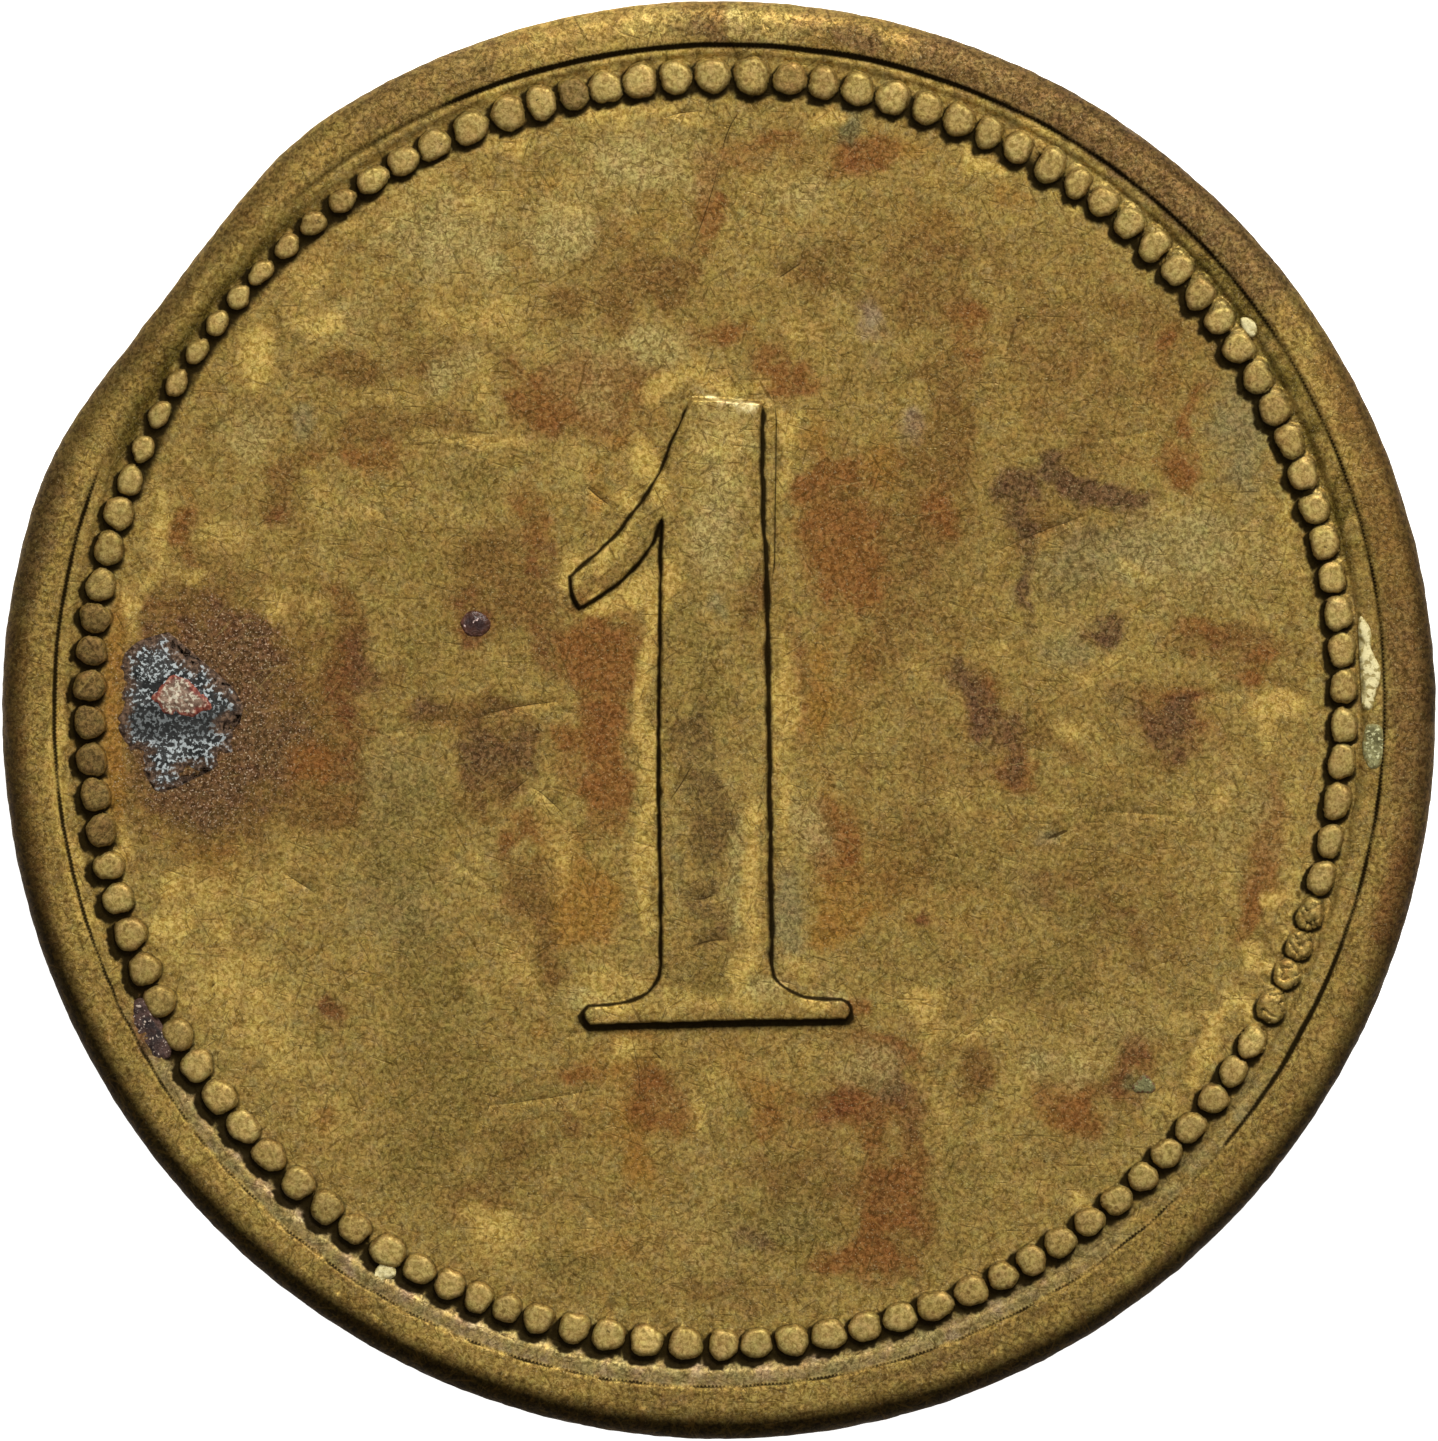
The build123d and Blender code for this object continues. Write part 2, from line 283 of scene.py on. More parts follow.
def catmull(points, each):
    """A smooth open curve through the points."""
    p = np.array(points, float)
    p = np.vstack([2 * p[0] - p[1], p, 2 * p[-1] - p[-2]])
    out = []
    for i in range(1, len(p) - 2):
        n = max(2, int(np.hypot(*(p[i + 1] - p[i])) / each))
        t = np.linspace(0, 1, n, endpoint=False)[:, None]
        out.append(
            0.5 * (2 * p[i] + (p[i + 1] - p[i - 1]) * t
                   + (2 * p[i - 1] - 5 * p[i] + 4 * p[i + 1] - p[i + 2]) * t**2
                   + (3 * p[i] - p[i - 1] - 3 * p[i + 1] + p[i + 2]) * t**3)
        )  # fmt: skip
    return np.vstack(out)


NUMERAL = [
    [(-0.482, 5.347), (0.687, 5.281)],
    [(0.687, 5.281), (0.690, 3.660), (0.752, 2.158), (0.790, -0.347), (0.826, -3.019), (0.830, -4.060)],
    [(0.830, -4.060), (0.905, -4.321), (1.079, -4.488), (1.330, -4.620), (1.600, -4.675)],
    [(1.600, -4.675), (2.010, -4.685)],
    [(2.010, -4.685), (2.120, -4.745), (2.165, -4.880), (2.090, -5.005)],
    [(2.090, -5.005), (1.163, -5.020), (0.161, -5.036), (-1.008, -5.066), (-2.170, -5.100)],
    [(-2.170, -5.100), (-2.265, -5.010), (-2.280, -4.880), (-2.180, -4.790)],
    [(-2.200, -4.790), (-1.800, -4.768)],
    [(-1.800, -4.768), (-1.470, -4.710), (-1.208, -4.563), (-1.041, -4.338), (-0.985, -4.100)],
    [(-0.985, -4.100), (-0.985, -3.019), (-1.020, -1.015), (-1.003, 1.156), (-0.975, 3.330)],
    [(-0.975, 3.330), (-1.175, 2.876), (-1.420, 2.560), (-1.715, 2.270), (-2.080, 2.015), (-2.360, 1.849)],
    [(-2.360, 1.849), (-2.465, 2.080), (-2.500, 2.370)],
    [(-2.500, 2.370), (-2.020, 2.800), (-1.676, 3.135), (-1.420, 3.485), (-1.158, 3.844),
     (-0.941, 4.278), (-0.757, 4.729), (-0.482, 5.347)],
]  # fmt: skip


def numeral_outline(each=0.055):
    """The closed outline of the figure, counter-clockwise seen from above."""
    pts = np.vstack([catmull(run, each) for run in NUMERAL])
    area = 0.5 * np.sum(pts[:, 0] * np.roll(pts[:, 1], -1) - pts[:, 1] * np.roll(pts[:, 0], -1))
    pts = pts if area > 0 else pts[::-1]
    wob = fbm(pts[:, 0], pts[:, 1], 0.5, 3, 8)
    t = np.roll(pts, -1, 0) - np.roll(pts, 1, 0)
    n = np.stack([t[:, 1], -t[:, 0]], 1)
    n /= np.linalg.norm(n, axis=1)[:, None]
    return pts + n * wob[:, None] * 0.012


FIGURE = numeral_outline()


def inside_distance(x, y, poly):
    """Distance to the outline, positive inside it."""
    out = np.full(x.shape, -9.0)
    lo, hi = poly.min(0) - 0.6, poly.max(0) + 0.6
    near = (x > lo[0]) & (x < hi[0]) & (y > lo[1]) & (y < hi[1])
    idx = np.nonzero(near)[0]
    a, b = poly, np.roll(poly, -1, 0)
    e = b - a
    ee = (e**2).sum(1)
    for s in range(0, len(idx), 4000):
        k = idx[s : s + 4000]
        px, py = x[k][:, None], y[k][:, None]
        t = np.clip(((px - a[:, 0]) * e[:, 0] + (py - a[:, 1]) * e[:, 1]) / ee, 0, 1)
        d2 = (a[:, 0] + t * e[:, 0] - px) ** 2 + (a[:, 1] + t * e[:, 1] - py) ** 2
        d = np.sqrt(d2.min(1))
        cross = (a[:, 1] > py) != (b[:, 1] > py)
        with np.errstate(divide="ignore", invalid="ignore"):
            xi = a[:, 0] + (py - a[:, 1]) / (b[:, 1] - a[:, 1]) * e[:, 0]
        odd = (cross & (px < xi)).sum(1) % 2 == 1
        out[k] = np.where(odd, d, -d)
    return out


# ------------------------------------------------------------------ scratches and dings
# (x0, y0, x1, y1, bend, depth, half width) in mm; bend bows the middle to the left.


def mm(px, py):
    """From frame positions (1438 x 1441, y down) to millimetres on the face."""
    return (px - 720.355) * 0.016698, (719.223 - py) * 0.016698


SCRATCHES_AT = [
    (739, 112, 722, 150, -2, 1.0, 1.0), (722, 152, 686, 262, 3, 0.8, 0.8),
    (658, 120, 706, 112, 3, 0.7, 0.8), (712, 98, 716, 128, 0, 0.5, 0.7),
    (777, 279, 803, 262, 0, 1.0, 1.1), (818, 300, 805, 330, 2, 0.5, 0.8),
    (586, 485, 611, 506, -1, 1.0, 1.1), (583, 435, 571, 478, 2, 0.5, 0.7),
    (478, 716, 562, 701, 2, 0.8, 0.9), (502, 801, 530, 778, 1, 0.9, 0.9),
    (530, 786, 566, 818, 3, 0.7, 0.9), (668, 802, 694, 762, -1, 0.9, 1.0),
    (1046, 838, 1068, 829, -1, 1.9, 2.0), (1002, 893, 1030, 870, 4, 0.5, 0.9),
    (995, 552, 1085, 516, 2, 0.7, 0.9), (1090, 812, 1190, 818, 2, 0.45, 0.8),
    (282, 872, 318, 895, 1, 0.7, 0.9), (380, 736, 468, 718, 3, 0.35, 0.8),
    (560, 1040, 603, 1028, 2, 0.4, 0.8), (630, 1030, 640, 1110, 3, 0.6, 0.9),
    (475, 1106, 600, 1088, -2, 0.6, 0.9), (780, 1040, 795, 1075, 2, 0.5, 0.8),
    (650, 1052, 662, 1062, 3, 0.9, 1.3), (560, 1170, 620, 1240, -6, 0.35, 0.8),
    (690, 1200, 700, 1150, 2, 0.35, 0.8), (860, 470, 925, 330, -8, 0.3, 1.0),
    (905, 300, 880, 420, 8, 0.25, 0.9), (1085, 440, 1170, 425, -3, 0.3, 0.8),
    (690, 898, 715, 893, -3, 1.0, 1.2), (688, 948, 730, 940, 3, 0.8, 1.4),
    (520, 930, 555, 1010, -5, 0.3, 0.8), (430, 830, 520, 905, -6, 0.25, 0.8),
    (1000, 1000, 960, 1040, 2, 0.5, 0.9), (1130, 980, 1170, 960, 2, 0.35, 0.8),
    (355, 500, 420, 540, 3, 0.3, 0.8), (250, 560, 330, 545, 2, 0.3, 0.8),
    (340, 1130, 420, 1060, 4, 0.3, 0.8), (450, 1180, 500, 1090, 4, 0.3, 0.8),
    (768, 640, 775, 700, 1, 0.5, 0.8), (800, 900, 830, 850, 3, 0.3, 0.8),
    (1210, 560, 1280, 500, 4, 0.3, 0.8), (1180, 700, 1250, 690, 2, 0.3, 0.8),
]  # fmt: skip


def scratch_lines():
    lines = []
    for x0, y0, x1, y1, bend, depth, width in SCRATCHES_AT:
        a, b = np.array(mm(x0, y0)), np.array(mm(x1, y1))
        d = b - a
        length = np.hypot(*d)
        n = np.array([-d[1], d[0]]) / length
        k = max(4, int(length / 0.07))
        t = np.linspace(0, 1, k)[:, None]
        mid = 4 * t * (1 - t) * bend * 0.0167
        p = a + d * t + n * mid
        q = fbm(p[:, 0] + 3, p[:, 1], 0.35, 2, 12)
        p = p + n * q[:, None] * 0.008
        lines.append((p, n, depth, width * 0.018))
    return lines


SCRATCHES = scratch_lines()


def scratched(x, y):
    """How deep a point lies in a scratch, 0 to about 1, and 2 in a gouge."""
    out = np.zeros_like(x)
    for p, n, depth, width in SCRATCHES:
        lo, hi = p.min(0) - 3 * width, p.max(0) + 3 * width
        k = np.nonzero((x > lo[0]) & (x < hi[0]) & (y > lo[1]) & (y < hi[1]))[0]
        if not len(k):
            continue
        a, e = p[:-1], p[1:] - p[:-1]
        px, py = x[k][:, None], y[k][:, None]
        s = np.clip(((px - a[:, 0]) * e[:, 0] + (py - a[:, 1]) * e[:, 1]) / (e**2).sum(1), 0, 1)
        d = np.sqrt(((a[:, 0] + s * e[:, 0] - px) ** 2 + (a[:, 1] + s * e[:, 1] - py) ** 2))
        j = d.argmin(1)
        along = (j + s[np.arange(len(k)), j]) / len(e)
        ends = np.sqrt(np.clip(4 * along * (1 - along), 0, 1))
        out[k] = np.maximum(out[k], depth * ends * np.clip(1 - d.min(1) / width, 0, 1))
    return out


# ------------------------------------------------------------------ the relief of a face


class Face:
    """The relief of one face and what the shader needs to know about it."""

    def __init__(self, seed, upper):
        self.border = Border(seed)
        self.upper = upper
        self.seed = seed

    def relief(self, x, y):
        """Height above z = 0 and named fields, for a face that looks up."""
        B = self.border
        r = np.hypot(x, y)
        a = np.degrees(np.arctan2(y, x)) % 360
        # the lower face has no knock of its own where its relief lies, so the angle
        # of the knock is looked up where it really is on the disc
        ar = a if self.upper else (180 - a) % 360
        g = groove(a)
        dent = dented(ar)
        rb = pearl_radius(a)
        b = np.interp(a, [p[0] for p in PEARL_B], [p[1] for p in PEARL_B])
        s = self.seed

        slow = fbm(x, y, 5.0, 2, s + 10)
        mid = fbm(x, y, 1.1, 3, s + 11)
        fine = fbm(x, y, 0.34, 2, s + 12)
        z = Z_FIELD + 0.006 * slow + 0.0022 * mid + 0.0012 * fine

        # the gutter outside the pearls climbs to the moat, then the wall, then the rim
        out = rb + b
        t = np.clip((r - out - 0.01) / np.maximum(g - out - 0.03, 0.05), 0, 1)
        filled = arc(a, 200, 326, 34)
        moat = (Z_MOAT - Z_FIELD + 0.048 * filled) * step(-0.02, 0.42 + 0.10 * filled, t)
        moat = moat + 0.006 * t - 0.012 * (1 - step(0.0, 0.3, t))
        moat = moat * step(-0.12, 0.03, r - rb - 0.05)
        moat = moat + 0.007 * fbm(x, y, 0.30, 3, s + 13) * step(out - 0.05, out + 0.05, r)
        wall = step(g - 0.030, g + 0.022, r)
        soft = step(out + 0.02, g + 0.10, r)
        w = wall * (1 - dent) + soft * dent
        rim = Z_RIM - 0.006 + 0.005 * fbm(x, y, 2.2, 2, s + 14) + 0.0025 * fbm(x, y, 0.5, 3, s + 15)
        base = z + moat
        # a thin line cut at the foot of the wall
        line = np.exp(-(((r - g + 0.040) / 0.020) ** 2)) * (1 - dent)
        base = base - 0.012 * line * (1 - filled)
        crack = np.exp(-(((r - g + 0.006) / 0.018) ** 2)) * filled
        # the low swelling along the inside of the rim
        lip = np.exp(-(((r - g - 0.075) / 0.05) ** 2)) * (1 - 0.7 * dent)
        rim = rim + 0.004 * lip - 0.010 * step(0.12, 0.40, r - g)
        z = base * (1 - w) + rim * w - 0.022 * crack
        worn = w

        # pearls
        near = B.nearest(a)
        band = np.abs(r - rb) < 0.62
        idx = np.nonzero(band)[0]
        rho = np.full(x.shape, 9.0)
        top = np.zeros_like(x)
        who = near.copy()
        second = np.full(x.shape, 9.0)
        for off in (-1, 0, 1):
            k = (near[idx] + off) % B.n
            q = B.rho(x[idx], y[idx], k)
            old = rho[idx]
            better = q < old
            second[idx] = np.where(better, old, np.minimum(second[idx], q))
            rho[idx] = np.where(better, q, old)
            who[idx] = np.where(better, k, who[idx])
        crush = arc(a, 330.2, 343.6, 2.0) if self.upper else np.zeros_like(a)
        tw = B.t[who]
        u, v = B.local(x, y, who)
        crown = (
            tw[:, 6] + tw[:, 7] * u + tw[:, 8] * v - 0.010 * np.clip(rho, 0, 1) ** 2
            + 0.0035 * fbm(x, y, 0.16, 2, s + 16)
        )  # fmt: skip
        side = np.clip((rho - 0.66) / 0.36, 0, 1)
        shape = np.where(rho < 1.02, (1 - side**2.3) ** 0.62, 0)
        # ghost pearls of the slipped blow, outside the struck ones
        ghost = np.zeros_like(x)
        if self.upper:
            gi = np.nonzero(band & ((a < 64) | (a > 346)))[0]
            if len(gi):
                best = np.zeros(len(gi))
                for off in (-1, 0, 1):
                    k = (near[gi] + off) % B.n
                    t = B.t[k]
                    up_by = t[:, 4] * np.interp(t[:, 2], [0, 20, 40, 62], [0.72, 0.72, 0.66, 0.45])
                    gx, gy = x[gi] - t[:, 0], y[gi] - t[:, 1] - up_by
                    q = np.hypot(gx / (t[:, 3] * 0.74), gy / (t[:, 4] * 0.66)) * (1 + 0.10 * (t[:, 9] - 0.5))
                    sd = np.clip((q - 0.55) / 0.5, 0, 1)
                    best = np.maximum(best, np.where(q < 1.05, (1 - sd**2) ** 0.7, 0))
                strength = np.interp(around(a[gi], 0), [-10, 0, 40, 62], [0.0, 1, 1, 0])
                ghost[gi] = best * strength
            zg = Z_FIELD + 0.118 * ghost
            z = np.maximum(z, np.where(ghost > 0.02, zg, 0))
        jag = fbm(x * 1.0 + y * 0.3, y, 0.24, 3, s + 17)
        shard = np.abs(fbm(x + 5, y * 1.4, 0.40, 2, s + 18))
        low = crush * (0.045 + 0.040 * jag + 0.045 * np.exp(-((shard / 0.07) ** 2)))
        ztop = crown - low
        pz = np.where(shape > 0, base + (ztop - base) * shape, 0)
        z = np.where(shape > 0, np.maximum(z, pz), z)
        z = z + crush * step(out + 0.20, out, r) * step(rb - b - 0.24, rb - b - 0.04, r) * (0.020 * jag + 0.012)

        # numeral
        d = inside_distance(x, y, FIGURE)
        rise = step(-0.034, 0.024, d)
        face_top = Z_NUM - 0.012 * np.exp(-np.clip(d, 0, 9) / 0.045)
        face_top = face_top + 0.004 * fbm(x, y, 0.9, 2, s + 19) + 0.002 * fbm(x, y, 0.25, 2, s + 20)
        foot = np.exp(-(((np.clip(-d, 0, 9) - 0.07) / 0.05) ** 2))
        z = np.where(d > -0.5, z + (face_top - z) * rise - 0.006 * foot, z)
        # terrace of the slipped blow along the upper right of the stem
        ter = np.zeros_like(x)
        if self.upper:
            edge = np.interp(y, [1.9, 2.6, 5.0, 5.3], [0.80, 0.905, 0.935, 0.90])
            ter = (
                step(edge + 0.020, edge - 0.020, x) * step(0.70, 0.74, x)
                * step(1.9, 2.5, y) * step(5.32, 5.22, y)
            )  # fmt: skip
            z = np.where(d < 0, np.maximum(z, Z_FIELD + 0.036 * ter), z)

        cut = scratched(x, y) if self.upper else np.zeros_like(x)
        z = z - 0.011 * cut

        # ---- fields for the shader
        # painted shadows round the pearls: a dark ring, wider and heavier on the side away from the key light (towards
        # 242°), and crescents cast towards the lower left of each pearl
        shadow_side = step(-0.35, 0.55, np.cos(np.arctan2(y - tw[:, 1], x - tw[:, 0]) - math.radians(242)))
        ring_shade = np.exp(-(((rho - 1.05 - 0.06 * shadow_side) / (0.12 + 0.09 * shadow_side)) ** 2)) * (0.62 + 0.38 * shadow_side)
        ring_shade *= step(0.88, 0.98, rho) * (1 - 0.85 * step(0.1, 0.5, ghost))
        cast = np.full(x.shape, 9.0)
        drop = 1 + 0.28 * arc(a, 186, 330, 14) + 0.30 * arc(a, 122, 160, 8) + 0.08 * arc(a, -28, 50, 12)
        for off in (-1, 0, 1):
            k = (near[idx] + off) % B.n
            cast[idx] = np.minimum(cast[idx], B.rho(x[idx] + 0.068 * drop[idx], y[idx] + 0.088 * drop[idx], k))
        cast_shadow = (1 - step(1.02, 1.24, cast)) * step(0.93, 1.03, rho) * (1 - 0.9 * crush)
        cast_shadow *= np.interp(a, [0, 50, 65, 95, 118, 128, 156, 190, 320, 360], [0.90, 0.78, 0.68, 0.64, 0.75, 1, 1, 1, 1, 0.95])
        cast_shadow = np.clip(1.25 * cast_shadow, 0, 1)
        # painted shade in the gaps between neighbouring pearls
        between = np.exp(-(((second - 1.0) / 0.16) ** 2)) * np.exp(-(((rho - 1.0) / 0.12) ** 4))
        off_pearl = step(0.90, 1.02, rho)
        outer_side = step(rb, rb + 0.25, r)
        inner_side = 1 - outer_side
        # painted shade beside the pearls: on their outer side along the bottom and left, and on their inner side along
        # the top and right, the sides away from the key light; round every pearl on the lower face
        if self.upper:
            go = arc(a, 186, 328, 14) * np.exp(-(np.clip(r - out - 0.05, 0, 9) / 0.085) ** 2) * outer_side
            go2 = arc(a, 122, 162, 8) * np.exp(-(np.clip(r - out + 0.02, 0, 9) / 0.13) ** 2) * outer_side
            gi_ = (arc(a, -12, 130, 14)) * np.exp(-(np.clip(rb - b - r + 0.01, 0, 9) / 0.085) ** 2) * inner_side
            hem = arc(a, 121, 160, 8) * np.exp(-(np.clip(rb - b - r + 0.02, 0, 9) / 0.13) ** 2) * inner_side
            gutter_shade = np.maximum(np.maximum(0.44 * go, 0.30 * go2), np.maximum(0.38 * gi_ * (1 - 0.6 * arc(a, 48, 112, 12)), 0.75 * hem)) * off_pearl * (1 - 0.7 * step(0.1, 0.5, ghost))
        else:
            gutter_shade = 0.6 * np.exp(-(np.clip(np.abs(r - rb) - b + 0.03, 0, 9) / 0.07) ** 2) * off_pearl
        # painted shade along the foot of the rim wall: strongest at the top, where the wall faces away from the key
        # light, and weakest at the bottom; in the filled arc below, painted shade over the crack and its crest
        line_at = [0, 30, 60, 75, 105, 120, 150, 165, 195, 225, 300, 330, 360]
        thin = np.interp(a, line_at, [0.026, 0.026, 0.036, 0.044, 0.044, 0.036, 0.026, 0.036, 0.034, 0.022, 0.024, 0.050, 0.028])
        amount = np.interp(a, line_at, [1.0, 1.0, 1.1, 1.7, 1.7, 1.6, 0.7, 1.3, 1.3, 0.55, 0.75, 1.35, 1.0])
        wall_shade = np.exp(-(((r - g + 0.014) / thin) ** 2)) * (1 - dent) * amount
        wall_shade *= 0.90 + 0.35 * fbm(x, y, 0.9, 3, s + 21)
        crack_shade = np.exp(-(((r - g - 0.002) / 0.027) ** 2)) * filled * (0.85 + 0.6 * fbm(x, y, 0.5, 2, s + 22))
        wall_shade = np.clip((1 - 0.6 * arc(a, 114, 130, 6)) * np.maximum(wall_shade * (1 - 0.8 * arc(a, 222, 318, 24)), crack_shade), 0, 1.05)
        # painted shade round the figure: dark lines along its walls, a shaded band just inside its edges, a painted
        # shadow under the foot, and less of it along the top edge, which faces the key light
        right = step(0.60, 0.70, x) * step(-4.3, -4.0, y) * step(5.25, 5.1, y)
        left = step(-0.85, -0.98, x) * step(-4.4, -4.1, y) * step(5.3, 5.1, y)
        pen = (0.039 + 0.018 * right + 0.008 * left) * np.clip(1 + 0.55 * fbm(x, y, 0.30, 3, s + 31), 0.5, 1.8)
        figure_shade = np.exp(-(((d + 0.012 + 0.012 * right) / pen) ** 2)) * (d > -0.5)
        figure_shade = figure_shade * (0.92 + 0.08 * right)
        inner = np.exp(-(np.clip(d - 0.015, 0, 9) / 0.070) ** 2) * step(-0.01, 0.015, d) * (0.36 + 0.18 * left + 0.22 * right)
        inner *= 0.8 + 0.7 * fbm(x, y, 0.45, 3, s + 23)
        figure_shade = np.maximum(figure_shade, np.clip(inner, 0, 1) * step(5.25, 5.0, y) * step(-4.95, -4.6, y))
        foot_shadow = np.exp(-(((d + 0.06) / 0.065) ** 2)) * (y < -4.9) * (d < 0.02) * 1.1
        topside = step(5.1, 5.3, y)
        figure_shade = np.maximum(figure_shade * (1 - 0.8 * topside), foot_shadow)
        ter_dark = np.exp(-(((x - np.interp(y, [1.9, 2.6, 5.0, 5.3], [0.80, 0.905, 0.935, 0.90])) / 0.022) ** 2))
        ter_dark = ter_dark * step(1.9, 2.6, y) * step(5.3, 5.1, y) * (1 if self.upper else 0)
        crack = crush * np.exp(-(((r - rb) / 0.30) ** 4)) * np.exp(-((shard / 0.055) ** 2)) * 0.75
        # painted shade and grime together: the shader darkens all of it towards near black
        shade_and_grime = np.maximum.reduce([
            0.85 * ring_shade, 0.9 * between, gutter_shade, cast_shadow, 0.95 * wall_shade, 0.95 * figure_shade,
            0.7 * ter_dark, crack,
        ])  # fmt: skip
        pearl = np.where(rho < 1.02, 1 - step(0.80, 1.0, rho), 0) * (1 - 0.75 * crush)
        fields = {
            "shade_and_grime": np.clip(shade_and_grime, 0, 1),
            "pearl": pearl,
            "ghost": ghost * (pearl < 0.1),
            "rim": worn,
            "figure": step(0.0, 0.05, d) * (d > -0.5),
            "scratch": np.clip(cut, 0, 2),
            "crush": crush * np.exp(-(((r - rb) / 0.36) ** 2)),
            "tone": tw[:, 13] * (pearl > 0),
        }
        fields["_who"] = who
        fields["_d"] = d
        return z, fields


